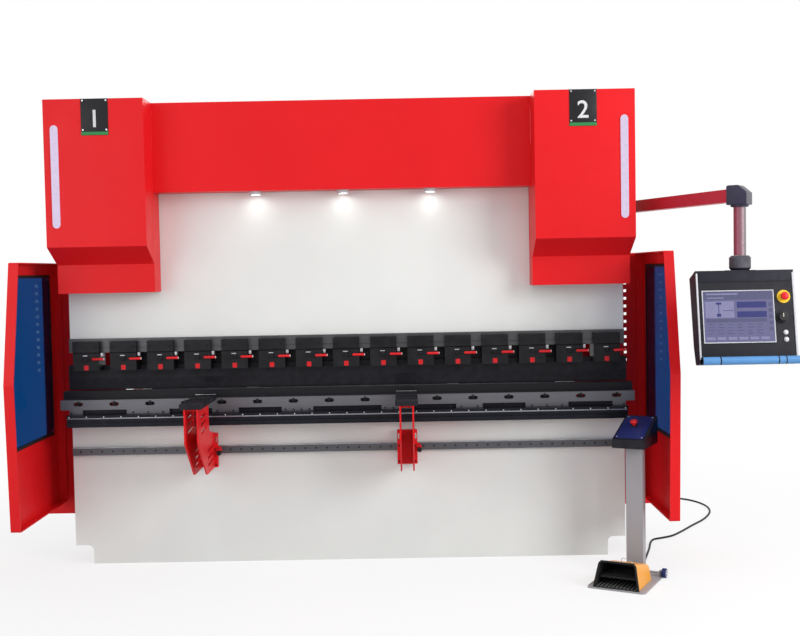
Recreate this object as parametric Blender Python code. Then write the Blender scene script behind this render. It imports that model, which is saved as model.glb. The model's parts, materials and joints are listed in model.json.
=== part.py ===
"""Hydraulic press brake for bending sheet metal, with front supports, side guards,
a swinging control pendant and a foot switch pedestal.

Metres, +Z up. X runs along the bending line, Y points to the back of the machine.
The origin is on the floor, under the middle of the bed plate.
"""
import math

import bmesh
import bpy
from mathutils import Matrix, Vector

# Gaps
seat = 0.0003              # gap between pieces that touch
slide_fit = 0.0003         # gap round a rod in its bore

# Table, bed and tools, from the floor up
table_length = 3.20
table_depth = 0.17
table_height = 0.056
table_overhang = 0.05      # of the table past the bed at each end
bed_thickness = 0.08
bed_height = 0.853
bed_notch_width = 0.10
bed_notch_height = 0.105
bed_notch_radius = 0.03
wedge_height = 0.023
wedge_depth = 0.12
wedge_inset = 0.01
apron_thickness = 0.02
apron_edges = (0.1226, 0.2361, 0.391, 0.4865, 0.640, 0.7939, 0.9529)   # shares of half the bed
die_height = 0.044
die_width = 0.06
die_inset = 0.002
vee_width = 0.016
bolt_slot_width = 0.055
bolt_slot_height = 0.021
bolt_slot_depth = 0.03
bolt_slot_rise = 0.004     # above the table's middle
bolt_slot_count = 16
die_gap = 0.006            # daylight between punch tip and die with the ram down

# Rails on the bed's front
front_rail_height = 0.066
front_rail_depth = 0.105
front_rail_groove = 0.006
front_rail_groove_share = 0.36
guide_rail_drop = 0.235    # from the bed's top to the rail's bottom
guide_rail_height = 0.043
guide_rail_depth = 0.025
guide_rail_lip = 0.006
guide_rail_left_inset = 0.005
guide_rail_right_inset = 0.05

# Punch, clamps and ram, from the die up
punch_height = 0.114
punch_length_cut = 0.06    # shorter than the table by this
punch_tang_height = 0.025
punch_tang_width = 0.013
punch_body_width = 0.026
punch_tip_width = 0.004
punch_nose_height = 0.03
punch_taper_height = 0.035
clamp_drop = 0.099         # from the clamp bar's bottom to the clamps' bottom
clamp_bar_height = 0.078
clamp_bar_depth = 0.13
clamp_bar_groove = 0.006
clamp_bar_groove_share = 0.3
clamp_count = 15
clamp_gap = 0.061
clamp_front = 0.105
clamp_back = 0.03
clamp_step = 0.006         # the lower face lies this far behind the upper plate
clamp_bite = 0.01          # how far a clamp runs into the bar
clamp_plate_height = 0.06
clamp_top_margin = 0.014
ram_inset = 0.002
ram_thickness = 0.08
ram_side_height = 0.377
ram_neck_gap = 0.105
ram_corner_radius = 0.06
ram_stroke = 0.17

# Clamp levers
lever_height = 0.066       # pivot above the clamp's lower edge
lever_boss_radius = 0.010
lever_boss_length = 0.022
lever_rod_radius = 0.0035
lever_grip_start = 0.036
lever_grip_end = 0.105
lever_grip_radius = 0.0075

# Side frames
frame_inset = 0.23         # from the bed's end to the frame's outer face
frame_thickness = 0.06
frame_back = 1.15
frame_shoulder_drop = 0.45
frame_shoulder_run = 0.35
frame_neck_front = 0.1453
throat_depth = 0.40
throat_rise = 0.347        # from the ram's bottom to the throat's top
throat_radius = 0.10
frame_corner_radius = 0.03
foot_gap_height = 0.08
foot_length = 0.28

# Cylinders and rods
cylinder_radius = 0.14
cylinder_height = 0.61
cylinder_step = 0.012
cylinder_collar = 0.05
cylinder_lug_width = 0.22
cylinder_lug_margin = 0.07
cylinder_lug_start = 0.6   # share of the radius where the lug begins
rod_radius = 0.055
rod_engagement = 0.31
rod_flange_radius = 0.085
rod_flange_height = 0.03
rod_flange_room = 0.02     # left under the cylinder with the ram raised
bore_end_margin = 0.04

# Covers
sheet = 0.003
cover_width = 0.529
cover_shift = 0.0025       # of a cylinder cover outward from its cylinder
cover_headroom = 0.075
cover_front = 0.365
cover_lower_front = 0.195
cover_skirt = 0.121        # below the ram's shoulder
cover_lower_height = 0.155
cover_slope_height = 0.093
cover_back = 0.12
cover_top_back = 0.20
cover_ram_gap = 0.008
cover_notch = 0.02
cover_cut_past = 0.05
centre_front = 0.175
centre_height = 0.484
led_inset = 0.057
led_width = 0.04
led_bottom_margin = 0.10
led_top_margin = 0.136
led_thickness = 0.006

# Guards and back panels
leaf_gap = 0.36            # from the side frame to the leaf
leaf_thickness = 0.052
leaf_skin = 0.008
leaf_flange = 0.006
leaf_back = 0.252
leaf_bottom = 0.30
leaf_height = 1.40
leaf_front_top = 0.455
leaf_front_middle = 0.585
leaf_front_bottom = 0.55
leaf_bend_height = 0.63
leaf_radius = 0.012
leaf_bend_radius = 0.06
window_margin_top = 0.08
window_margin_front = 0.045
window_height = 0.90
window_back = 0.165
window_radius = 0.03
glass_thickness = 0.006
panel_offset = 0.013
panel_overhang = 0.12
panel_bottom_drop = 0.078
panel_thickness = 0.003
hole_size = 0.016
hole_pitch = 0.045
hole_count = 12
hole_top_drop = 0.13
hole_offset = 0.30
hinge_radius = 0.008
hinge_length = 0.06
hinge_clearance = 0.0015
hinge_set_back = 0.004
hinge_low_rise = 0.15
hinge_high_drop = 0.20
web_width = 0.006
web_inset = 0.003
web_depth = 0.012

# Front supports
support_positions = (-0.783, 0.33)
support_gap = 0.059
support_plate = 0.008
support_top_drop = 0.007   # of the plates' top below the table's top
support_upper_front = 0.552
support_upper_back = 0.242
support_upper_height = 0.181
support_lower_front = 0.327
support_step_rise = 0.004
support_slope = 0.03
support_slot_length = 0.155
support_slot_width = 0.015
support_slot_pitch = 0.038
support_slot_count = 3
support_slot_tilt = 5
support_upper_slot = 0.397
support_lower_slot = 0.212
support_upper_slot_drop = 0.05
support_lower_slot_rise = 0.05
support_bridge_height = 0.012
ear_slot_width = 0.008
ear_slot_height = 0.038
ear_slot_inset = 0.009
ear_slot_drop = 0.036
saddle_width = 0.112
saddle_thickness = 0.03
saddle_below_rail = 0.073
saddle_above_rail = 0.075
rest_width = 0.118
rest_thickness = 0.03
rest_gap = 0.02            # between table and rest
rest_front = 0.555
rest_bevel = 0.004
knob_radius = 0.014
knob_length = 0.02
knob_drop = 0.09           # below the saddle's top
knob_sink = 0.004

# Rear equipment
tank_back_margin = 0.17
tank_depth = 0.46
tank_rise = 0.16           # of the tank above the throat
tank_height = 0.36
tank_lid = 0.012
tank_lid_overhang = 0.015
motor_radius = 0.12
motor_length = 0.42
motor_end_share = 0.8
motor_bell = 0.04
motor_bell_slope = 0.01
motor_clearance = 0.02
motor_foot_width = 0.18
motor_foot_share = 0.6
pump_radius = 0.04
pump_length = 0.12
tie_bottom = 0.16
tie_height = 0.20
tie_depth = 0.12
tie_back_margin = 0.02
gauge_front = 0.62
gauge_depth = 0.09
gauge_height = 0.11
gauge_drop = 0.18          # of its bottom below the die's top
finger_x = 0.62
finger_width = 0.07
finger_reach = 0.36
finger_rise = 0.03
finger_root = 0.07
finger_sink = 0.02
finger_lip = 0.005
finger_lips = 3             # lips from the die's top down to the finger's underside
finger_slope = 0.05
cabinet_width = 0.28
cabinet_back_margin = 0.16
cabinet_depth = 0.66
cabinet_bottom = 0.30
cabinet_rise = 0.16        # of its top above the guards
cabinet_door = 0.02
cabinet_door_margin = 0.03

# Pendant
post_offset = 0.22         # from the side frame's outer face
post_set_back = 0.09       # from the cabinet's front
pivot_radius = 0.045
arm_rise = 0.10            # of the arm's middle above the cabinet
arm_height = 0.066
arm_width = 0.06
arm_out = 0.435
arm_forward = 1.205
elbow_width = 0.128
elbow_height = 0.10
elbow_bevel = 0.018
drop_radius = 0.03
drop_length = 0.295
collar_radius = 0.052
collar_height = 0.072
collar_bevel = 0.01
housing_width = 0.475
housing_height = 0.464
housing_depth = 0.11
housing_tilt = 10
housing_shift = 0.002
housing_back_drop = 3       # times the front edge's drop
housing_back_side = (0.7, 0.8)      # share of the half depth, share of the height
housing_back_foot = 0.3
housing_round = 0.02
housing_front_round = 0.015
crown_width = 0.12
crown_depth = 0.10
crown_sink = 0.05
handle_radius = 0.0195
handle_length = 0.475
handle_stand_off = 0.02
handle_rise = 0.012
handle_bracket_x = 0.193
handle_bracket_width = 0.024
handle_bracket_low = 0.004
handle_bracket_height = 0.016

# Foot switch pedestal
pedestal_offset = 0.21     # from the side frame's outer face
pedestal_y = -0.42
pedestal_yaw = 28
base_width = 0.30
base_depth = 0.42
base_thickness = 0.008
base_back = 0.05
base_corner = 0.02
column_width = 0.09
column_depth = 0.05
column_top = 0.68
console_width = 0.17
console_depth = 0.26
console_back_height = 0.14
console_front_height = 0.045
hood_width = 0.23
hood_depth = 0.22
hood_height = 0.13
hood_wall = 0.012
hood_forward = 0.34
hood_lip = 0.02
hood_back_share = 0.8
hood_front_share = 0.75
hood_mouth_share = 0.68
hood_crest = 0.45
hood_past = 0.06
hood_round = 0.03
hood_lip_round = 0.01
pedal_rise = 0.05
pedal_thickness = 0.014
pedal_side_gap = 0.006
pedal_set_back = 0.012
pedal_front_gap = 0.02
pedal_axle_radius = 0.006
wheel_radius = 0.025
wheel_width = 0.022
wheel_side_gap = 0.002
wheel_axle = 0.005
wheel_lift = 0.002
axle_gap = 0.014
ear_width = 0.008
ear_half_depth = 0.012
ear_inset = 0.012
cable_radius = 0.006
cable_lift = 0.0005
gland_radius = 0.011
gland_length = 0.012
gland_height = 0.034
cable_end_x = 0.200        # from the side frame's outer face
cable_end_margin = 0.12    # from the cabinet's back
cable_loop = ((0.266, -0.300, 0.021), (0.296, -0.217, 0), (0.338, -0.090, 0), (0.385, 0.060, 0),
              (0.420, 0.185, 0), (0.456, 0.262, 0), (0.515, 0.298, 0), (0.585, 0.345, 0), (0.665, 0.445, 0),
              (0.765, 0.590, 0), (0.895, 0.775, 0), (0.985, 0.975, 0), (1.005, 1.165, 0), (0.950, 1.330, 0),
              (0.830, 1.430, 0), (0.680, 1.440, 0), (0.525, 1.350, 0), (0.392, 1.205, 0), (0.285, 1.050, 0),
              (0.225, 0.945, 0.014), (0.204, 0.890, 0.062), (0.200, 0.872, 0.130), (0.200, 0.870, 0.215))
cable_straight = 4         # gland lengths, of the first run out of the gland
cable_steps = 3

overlap = 0.001            # how far joined pieces reach into each other

# Lengths along the machine
bed_length = table_length - 2 * table_overhang
die_length = table_length - 2 * die_inset
punch_length = table_length - punch_length_cut
ram_width = bed_length - 2 * ram_inset
clamp_pitch = ram_width / clamp_count
clamp_width = clamp_pitch - clamp_gap
bolt_slot_pitch = table_length / bolt_slot_count
frame_outer = bed_length / 2 - frame_inset
frame_inner = frame_outer - frame_thickness
cylinder_x = frame_inner + frame_thickness / 2
ram_neck = cylinder_x - cylinder_radius - ram_neck_gap
cover_inner = cylinder_x + cover_shift - cover_width / 2
cover_outer = cylinder_x + cover_shift + cover_width / 2
led_x = cover_outer - led_inset
leaf_inner = frame_outer + leaf_gap
panel_outer = leaf_inner + panel_overhang
hinge_x = leaf_inner + leaf_thickness + hinge_radius + hinge_clearance
hole_x = frame_outer + hole_offset

# Heights, from the bed up
table_bottom = bed_height + wedge_height
table_top = table_bottom + table_height
die_top = table_top + die_height
punch_tip = die_top + die_gap
clamp_bottom = punch_tip + punch_height
clamp_bar_bottom = clamp_bottom + clamp_drop
ram_bottom = clamp_bar_bottom + clamp_bar_height
ram_shoulder = ram_bottom + ram_side_height
cylinder_bottom = ram_shoulder + rod_flange_height + ram_stroke + rod_flange_room
cylinder_top = cylinder_bottom + cylinder_height
rod_top = cylinder_bottom + rod_engagement
cover_top = cylinder_top + cover_headroom
cover_bottom = ram_shoulder - cover_skirt
cover_break_low = cover_bottom + cover_lower_height
cover_break_high = cover_break_low + cover_slope_height
centre_bottom = cover_top - centre_height
ram_top = centre_bottom + centre_height / 2
led_bottom = cover_break_high + led_bottom_margin
led_top = cover_top - led_top_margin
frame_top = cover_top - sheet - seat
frame_shoulder = frame_top - frame_shoulder_drop
throat_top = ram_bottom + throat_rise
guide_rail_bottom = bed_height - guide_rail_drop
saddle_bottom = guide_rail_bottom - saddle_below_rail
saddle_top = guide_rail_bottom + guide_rail_height + saddle_above_rail
support_top = table_top - support_top_drop
leaf_top = leaf_bottom + leaf_height
window_top = leaf_top - window_margin_top
window_bottom = window_top - window_height
panel_bottom = leaf_bottom - panel_bottom_drop
hinge_heights = (leaf_bottom + hinge_low_rise, leaf_top - hinge_high_drop)
hole_top = leaf_top - hole_top_drop
tank_bottom = throat_top + tank_rise
gauge_bottom = die_top - gauge_drop
cabinet_top = leaf_top + cabinet_rise
arm_z = cabinet_top + arm_rise
drop_bottom = arm_z - drop_length

# Depths, from the bed's faces
bed_front = -bed_thickness / 2 - seat
frame_front = bed_thickness / 2 + seat
tank_front = frame_back - tank_back_margin - tank_depth
cabinet_front = frame_back - cabinet_back_margin - cabinet_depth
panel_front = leaf_back + panel_offset
hinge_y = leaf_back + hinge_set_back
rest_back = table_depth / 2 + rest_gap
pivot_x = frame_outer + post_offset
pivot_y = cabinet_front + post_set_back
elbow_x = pivot_x + arm_out
elbow_y = pivot_y - arm_forward
pedestal_x = frame_outer + pedestal_offset


def material(name, colour, roughness=0.45, metallic=0.0):
    """A Principled material in the part's own colour."""
    shade = bpy.data.materials.new(name)
    shade.use_nodes = True
    shader = shade.node_tree.nodes["Principled BSDF"]
    shader.inputs["Base Color"].default_value = (*colour, 1.0)
    shader.inputs["Roughness"].default_value = roughness
    shader.inputs["Metallic"].default_value = metallic
    return shade


def finish(name, bm, shade, round_angle=None):
    """Turn a bmesh into an object with outward faces."""
    bmesh.ops.recalc_face_normals(bm, faces=bm.faces[:])
    mesh = bpy.data.meshes.new(name)
    bm.to_mesh(mesh)
    bm.free()
    if round_angle:
        mesh.shade_smooth()
        mesh.set_sharp_from_angle(angle=math.radians(round_angle))
    if shade:
        mesh.materials.append(shade)
    piece = bpy.data.objects.new(name, mesh)
    bpy.context.scene.collection.objects.link(piece)
    return piece


def outward(bm):
    """Turn a closed shape's faces outward."""
    bmesh.ops.recalc_face_normals(bm, faces=bm.faces[:])
    return bm


def moved(bm, matrix):
    bmesh.ops.transform(bm, matrix=matrix, verts=bm.verts[:])
    return bm


def to_axis(axis, u, v, w):
    """Place a flat point (u, v) and its depth w for a plate that faces an axis."""
    if axis == "X":
        return (w, u, v)
    if axis == "Y":
        return (u, w, v)
    return (u, v, w)


def plate_mesh(loops, axis, low, high):
    """Fill an outline and its holes and give it a thickness along an axis."""
    bm = bmesh.new()
    edges = []
    for loop in loops:
        verts = [bm.verts.new(to_axis(axis, u, v, low)) for u, v in loop]
        edges += [bm.edges.new(pair) for pair in zip(verts, verts[1:] + verts[:1])]
    if len(loops) == 1:
        bm.faces.new([v for v in bm.verts])
    else:
        bmesh.ops.triangle_fill(bm, use_beauty=True, edges=edges, normal=to_axis(axis, 0, 0, 1))
    grown = bmesh.ops.extrude_face_region(bm, geom=bm.faces[:])
    moved = [g for g in grown["geom"] if isinstance(g, bmesh.types.BMVert)]
    bmesh.ops.translate(bm, vec=to_axis(axis, 0, 0, high - low), verts=moved)
    return bm


def plate(name, loops, axis, low, high, shade):
    return finish(name, plate_mesh(loops, axis, low, high), shade)


def box_mesh(low, high):
    bm = bmesh.new()
    bmesh.ops.create_cube(bm, size=1.0)
    size = Vector(high) - Vector(low)
    middle = (Vector(high) + Vector(low)) / 2
    bmesh.ops.scale(bm, vec=size, verts=bm.verts[:])
    bmesh.ops.translate(bm, vec=middle, verts=bm.verts[:])
    return bm


def box(name, low, high, shade, bevel=0.0):
    bm = box_mesh(low, high)
    if bevel:
        bmesh.ops.bevel(bm, geom=bm.edges[:], offset=bevel, segments=1, affect="EDGES")
    return finish(name, bm, shade)


def turned_mesh(profile, centre, axis, segments):
    """Turn a profile of (radius, height) points round an axis; it starts and ends on it."""
    turn = Vector((0, 0, 1)).rotation_difference(Vector(axis)).to_matrix()
    bm = bmesh.new()
    rings = []
    for radius, height in profile:
        count = segments if radius > 0 else 1
        ring = []
        for step in range(count):
            angle = 2 * math.pi * (step + 0.5) / segments
            point = Vector((radius * math.cos(angle), radius * math.sin(angle), height))
            ring.append(bm.verts.new(turn @ point + Vector(centre)))
        rings.append(ring)
    for lower, upper in zip(rings, rings[1:]):
        for step in range(segments):
            following = (step + 1) % segments
            if len(lower) == 1:
                bm.faces.new((lower[0], upper[step], upper[following]))
            elif len(upper) == 1:
                bm.faces.new((lower[step], upper[0], lower[following]))
            else:
                bm.faces.new((lower[step], lower[following], upper[following], upper[step]))
    return bm


def turned(name, profile, centre, axis, segments, shade):
    return finish(name, turned_mesh(profile, centre, axis, segments), shade, 40)


def rod_profile(radius, length):
    return [(0, 0), (radius, 0), (radius, length), (0, length)]


def arc(centre, radius, start, end, steps):
    """Points on an arc, angles in degrees."""
    angles = [math.radians(start + (end - start) * i / steps) for i in range(steps + 1)]
    return [(centre[0] + radius * math.cos(a), centre[1] + radius * math.sin(a)) for a in angles]


def rounded(corners, steps=4):
    """An outline whose (u, v, radius) corners are rounded where the radius is given."""
    points = []
    count = len(corners)
    for index, (u, v, radius) in enumerate(corners):
        here = Vector((u, v))
        if not radius:
            points.append((u, v))
            continue
        before = Vector(corners[index - 1][:2])
        after = Vector(corners[(index + 1) % count][:2])
        back = (before - here).normalized()
        ahead = (after - here).normalized()
        half = back.angle(ahead) / 2
        reach = min(radius / math.tan(half), (before - here).length * 0.49, (after - here).length * 0.49)
        first, last = here + back * reach, here + ahead * reach
        centre = here + (back + ahead).normalized() * (reach / math.cos(half))
        start, sweep = first - centre, (last - centre).angle(first - centre)
        side = math.copysign(1, start.x * (last - centre).y - start.y * (last - centre).x)
        for step in range(steps + 1):
            turn = Matrix.Rotation(side * sweep * step / steps, 2)
            points.append(tuple(centre + turn @ start))
    return points


def rectangle(low_u, low_v, high_u, high_v, radius=0.0, steps=3):
    corners = [(low_u, low_v), (high_u, low_v), (high_u, high_v), (low_u, high_v)]
    return rounded([(u, v, radius) for u, v in corners], steps)


def slot(centre, length, width, angle=0, steps=3):
    """An oblong hole with round ends, its length turned by an angle in degrees."""
    reach = (length - width) / 2
    ends = arc((reach, 0), width / 2, -90, 90, steps) + arc((-reach, 0), width / 2, 90, 270, steps)
    turn = Matrix.Rotation(math.radians(angle), 2)
    return [tuple(Vector(centre) + turn @ Vector(p)) for p in ends]


def helper(name, bm):
    """A shape that only cuts or joins another object."""
    tool = finish(name, bm, None)
    tool.hide_render = True
    tool.display_type = "WIRE"
    return tool


def combine(piece, tool, operation):
    step = piece.modifiers.new(tool.name, "BOOLEAN")
    step.object = tool
    step.operation = operation
    step.solver = "EXACT"


def merge_meshes(meshes):
    """Put several closed shapes into one bmesh."""
    whole = bmesh.new()
    for bm in meshes:
        passing = bpy.data.meshes.new("passing")
        bm.to_mesh(passing)
        bm.free()
        whole.from_mesh(passing)
        bpy.data.meshes.remove(passing)
    return whole


def swing(name, location, children):
    """An empty on a joint's axis that carries the pieces that move there."""
    hub = bpy.data.objects.new(name, None)
    hub.location = location
    bpy.context.scene.collection.objects.link(hub)
    bpy.context.view_layer.update()
    for child in children:
        child.parent = hub
        child.matrix_parent_inverse = hub.matrix_world.inverted()
    return hub


for leftover in list(bpy.data.objects):
    bpy.data.objects.remove(leftover)

red = material("red paint", (0.76, 0.02, 0.025), 0.38)
off_white = material("off white paint", (0.76, 0.74, 0.68), 0.42)
black = material("black oxide", (0.013, 0.013, 0.016), 0.45, 0.3)
steel = material("brushed steel", (0.32, 0.32, 0.34), 0.38, 0.9)
bright = material("bright steel", (0.7, 0.7, 0.72), 0.25, 1.0)
grey = material("grey paint", (0.35, 0.36, 0.38), 0.5)
dark_grey = material("dark grey plastic", (0.045, 0.05, 0.06), 0.5)
blue_plastic = material("light blue plastic", (0.11, 0.29, 0.72), 0.4)
blue_glass = material("blue guard glass", (0.01, 0.03, 0.16), 0.12)
yellow = material("yellow paint", (0.87, 0.38, 0.03), 0.4)
lamp = material("lamp diffuser", (0.85, 0.82, 0.95), 0.4)
rubber = material("black rubber", (0.01, 0.01, 0.011), 0.7)


def bed_plate():
    """Front bed plate with notched lower corners."""
    half = bed_length / 2
    inner = half - bed_notch_width
    side = [(inner, 0, 0), (inner, bed_notch_height, bed_notch_radius), (half, bed_notch_height, 0),
            (half, bed_height - seat, 0)]
    mirrored = [(-u, v, r) for u, v, r in reversed(side)]
    outline = rounded(side + mirrored)
    return plate("bed_plate", [outline], "Y", -bed_thickness / 2, bed_thickness / 2, off_white)


def side_frame(name, low, high):
    """C shaped side frame with its throat and feet."""
    throat_back = frame_front + throat_depth
    jaw = bed_height - seat
    foot_end, foot_start = frame_front + foot_length, frame_back - foot_length
    corners = [
        (frame_front, 0, 0), (foot_end, 0, 0), (foot_end, foot_gap_height, frame_corner_radius),
        (foot_start, foot_gap_height, frame_corner_radius), (foot_start, 0, 0),
        (frame_back, 0, 0), (frame_back, frame_shoulder, throat_radius),
        (frame_back - frame_shoulder_run, frame_top, throat_radius), (frame_neck_front, frame_top, 0),
        (frame_neck_front, throat_top, frame_corner_radius), (throat_back, throat_top, throat_radius),
        (throat_back, jaw, throat_radius), (frame_front, jaw, 0)]
    return plate(name, [rounded(corners)], "X", low, high, off_white)


def die_table():
    """Table slab with a front apron between the wedge openings and bolt slots."""
    half, front = table_length / 2, -table_depth / 2
    slab = box("die_table", (-half, front, table_bottom + seat), (half, -front, table_top), steel)
    marks = [share * bed_length / 2 for share in apron_edges]
    edges = sorted([-x for x in marks] + marks)
    edges = [-bed_length / 2] + edges + [bed_length / 2]
    tabs = [box_mesh((low, front, bed_height + seat), (high, front + apron_thickness, table_bottom + overlap))
            for low, high in zip(edges[::2], edges[1::2])]
    combine(slab, helper("table apron", merge_meshes(tabs)), "UNION")
    first = -bolt_slot_pitch * (bolt_slot_count - 1) / 2
    z = table_bottom + table_height / 2 + bolt_slot_rise
    cuts = [outward(plate_mesh([slot((first + bolt_slot_pitch * i, z), bolt_slot_width, bolt_slot_height)],
                               "Y", front - bolt_slot_depth, front + bolt_slot_depth))
            for i in range(bolt_slot_count)]
    combine(slab, helper("bolt slots", merge_meshes(cuts)), "DIFFERENCE")
    return slab


def wedge_bar():
    """Crowning wedges under the table, seen through the apron's openings."""
    half = bed_length / 2 - wedge_inset
    front = -table_depth / 2 + apron_thickness + seat
    return box("wedge_bar", (-half, front, bed_height), (half, wedge_depth / 2, table_bottom), black)


def lower_die():
    """Die block with a vee along its top."""
    half, vee = die_width / 2, vee_width / 2
    base = table_top + seat
    outline = [(-half, base), (half, base), (half, die_top), (vee, die_top),
               (0, die_top - vee), (-vee, die_top), (-half, die_top)]
    return plate("lower_die", [outline], "X", -die_length / 2, die_length / 2, black)


def grooved_front(back, front, bottom, top, groove, share):
    """Side outline of a bar with a square groove along its front face."""
    z = bottom + (top - bottom) * share
    return [(back, bottom), (back, top), (front, top), (front, z + groove), (front + groove, z + groove),
            (front + groove, z), (front, z), (front, bottom)]


def front_rail():
    """Black rail along the bed's front, grooved along its face."""
    top = bed_height - seat
    outline = grooved_front(bed_front, bed_front - front_rail_depth, top - front_rail_height, top,
                            front_rail_groove, front_rail_groove_share)
    return plate("front_rail", [outline], "X", -bed_length / 2, bed_length / 2, black)


def guide_rail():
    """Rail that the front supports slide on, with a hooked top and foot."""
    front, lip = bed_front - guide_rail_depth, guide_rail_lip
    bottom, top = guide_rail_bottom, guide_rail_bottom + guide_rail_height
    outline = [(bed_front, bottom + lip), (bed_front, top - lip), (bed_front - lip, top - lip),
               (bed_front - lip, top), (front, top), (front, bottom), (bed_front - lip, bottom),
               (bed_front - lip, bottom + lip)]
    return plate("guide_rail", [outline], "X", -bed_length / 2 + guide_rail_left_inset,
                 bed_length / 2 - guide_rail_right_inset, steel)


def cylinder(name, x):
    """Cylinder body with a blind bore and the lug that bolts to the side frame."""
    bore = rod_radius + slide_fit
    depth = cylinder_height - bore_end_margin
    end, collar = cylinder_radius - cylinder_step, cylinder_collar
    profile = [(0, depth), (bore, depth), (bore, 0), (end, 0), (end, collar), (cylinder_radius, collar),
               (cylinder_radius, cylinder_height - collar), (end, cylinder_height - collar),
               (end, cylinder_height), (0, cylinder_height)]
    body = turned(name, profile, (x, 0, cylinder_bottom), (0, 0, 1), 32, dark_grey)
    half = cylinder_lug_width / 2
    lug = box_mesh((x - half, cylinder_radius * cylinder_lug_start, cylinder_bottom + cylinder_lug_margin),
                   (x + half, frame_neck_front - seat, cylinder_top - cylinder_lug_margin))
    combine(body, helper(name + " lug", lug), "UNION")
    return body


def piston_rod(name, x):
    """Rod with the flange that bolts to the ram's shoulder."""
    start = ram_shoulder + seat
    profile = [(0, 0), (rod_flange_radius, 0), (rod_flange_radius, rod_flange_height),
               (rod_radius, rod_flange_height), (rod_radius, rod_top - start), (0, rod_top - start)]
    return turned(name, profile, (x, 0, start), (0, 0, 1), 32, bright)


def ram_plate():
    """Ram plate with a raised middle between the cylinders."""
    half = ram_width / 2
    side = [(half, ram_bottom + seat, 0), (half, ram_shoulder, ram_corner_radius / 3),
            (ram_neck, ram_shoulder, ram_corner_radius), (ram_neck, ram_top, ram_corner_radius / 2)]
    mirrored = [(-u, v, r) for u, v, r in reversed(side)]
    outline = rounded(side + mirrored)
    return plate("ram_plate", [outline], "Y", -ram_thickness / 2, ram_thickness / 2, off_white)


def clamp_positions():
    first = -clamp_pitch * (clamp_count - 1) / 2
    return [first + clamp_pitch * index for index in range(clamp_count)]


def clamp_bar():
    """Grooved bar under the ram with its row of punch clamps and their shared back jaw."""
    half, front = ram_width / 2, -clamp_bar_depth / 2
    bottom = clamp_bar_bottom
    outline = grooved_front(-front, front, bottom, ram_bottom, clamp_bar_groove, clamp_bar_groove_share)
    bar = plate("clamp_bar", [outline], "X", -half, half, steel)
    slot_half = punch_tang_width / 2 + seat
    slot_top = clamp_bottom + punch_tang_height + seat
    plate_top = ram_bottom - clamp_top_margin
    plate_bottom = plate_top - clamp_plate_height
    face, step, bite = -clamp_front, clamp_step, clamp_bite
    clamp = [(face + step, clamp_bottom), (-slot_half, clamp_bottom), (-slot_half, slot_top),
             (slot_half, slot_top), (slot_half, clamp_bottom), (clamp_back, clamp_bottom),
             (clamp_back, bottom + bite), (front + bite, bottom + bite), (front + bite, plate_top),
             (face, plate_top), (face, plate_bottom), (face + step, plate_bottom - step)]
    places = clamp_positions()
    shapes = [outward(plate_mesh([clamp], "X", x - clamp_width / 2, x + clamp_width / 2)) for x in places]
    combine(bar, helper("clamps", merge_meshes(shapes)), "UNION")
    jaw = box_mesh((places[1], slot_half + step, clamp_bottom + overlap),
                   (places[-2], clamp_back - overlap, bottom + overlap))
    combine(bar, helper("back jaw", jaw), "UNION")
    return bar


def clamp_lever(number, x):
    """Quick release lever: a boss on the clamp's face, a thin rod and a round grip."""
    face = -clamp_front + clamp_step - seat
    z = clamp_bottom + lever_height
    reach = face - lever_boss_length / 2
    radius, bevel = lever_grip_radius, lever_grip_radius / 2
    boss = turned(f"clamp_lever_{number:02d}", rod_profile(lever_boss_radius, lever_boss_length),
                  (x, face, z), (0, -1, 0), 12, red)
    grip_length = lever_grip_end - lever_grip_start
    grip = [(0, 0), (radius - bevel, 0), (radius, bevel), (radius, grip_length - bevel),
            (radius - bevel, grip_length), (0, grip_length)]
    rod_length = lever_grip_start + grip_length / 2
    rod_shape = outward(turned_mesh(rod_profile(lever_rod_radius, rod_length), (x, reach, z), (1, 0, 0), 8))
    grip_shape = outward(turned_mesh(grip, (x + lever_grip_start, reach, z), (1, 0, 0), 10))
    combine(boss, helper(f"lever rod {number}", rod_shape), "UNION")
    combine(boss, helper(f"lever grip {number}", grip_shape), "UNION")
    return swing(f"lever axis {number}", (x, face, z), [boss])


def punch():
    """Punch with its tang and a tapering nose."""
    tang, body, tip = punch_tang_width / 2, punch_body_width / 2, punch_tip_width / 2
    top = clamp_bottom - seat
    tang_top = clamp_bottom + punch_tang_height
    nose = punch_tip + punch_nose_height
    shoulder = nose + punch_taper_height
    outline = [(-tang, top), (-body, top), (-body, shoulder), (-tang, nose), (-tip, punch_tip),
               (tip, punch_tip), (tang, nose), (body, shoulder), (body, top), (tang, top),
               (tang, tang_top), (-tang, tang_top)]
    return plate("punch", [outline], "X", -punch_length / 2, punch_length / 2, black)


def cover_outline(grow):
    """Side outline of a cylinder cover; grow moves it in by the sheet's thickness."""
    front, lower = -cover_front + grow, -cover_lower_front + grow
    return [(front, cover_top - grow), (front, cover_break_high), (lower, cover_break_low),
            (lower, cover_bottom)]


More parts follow.
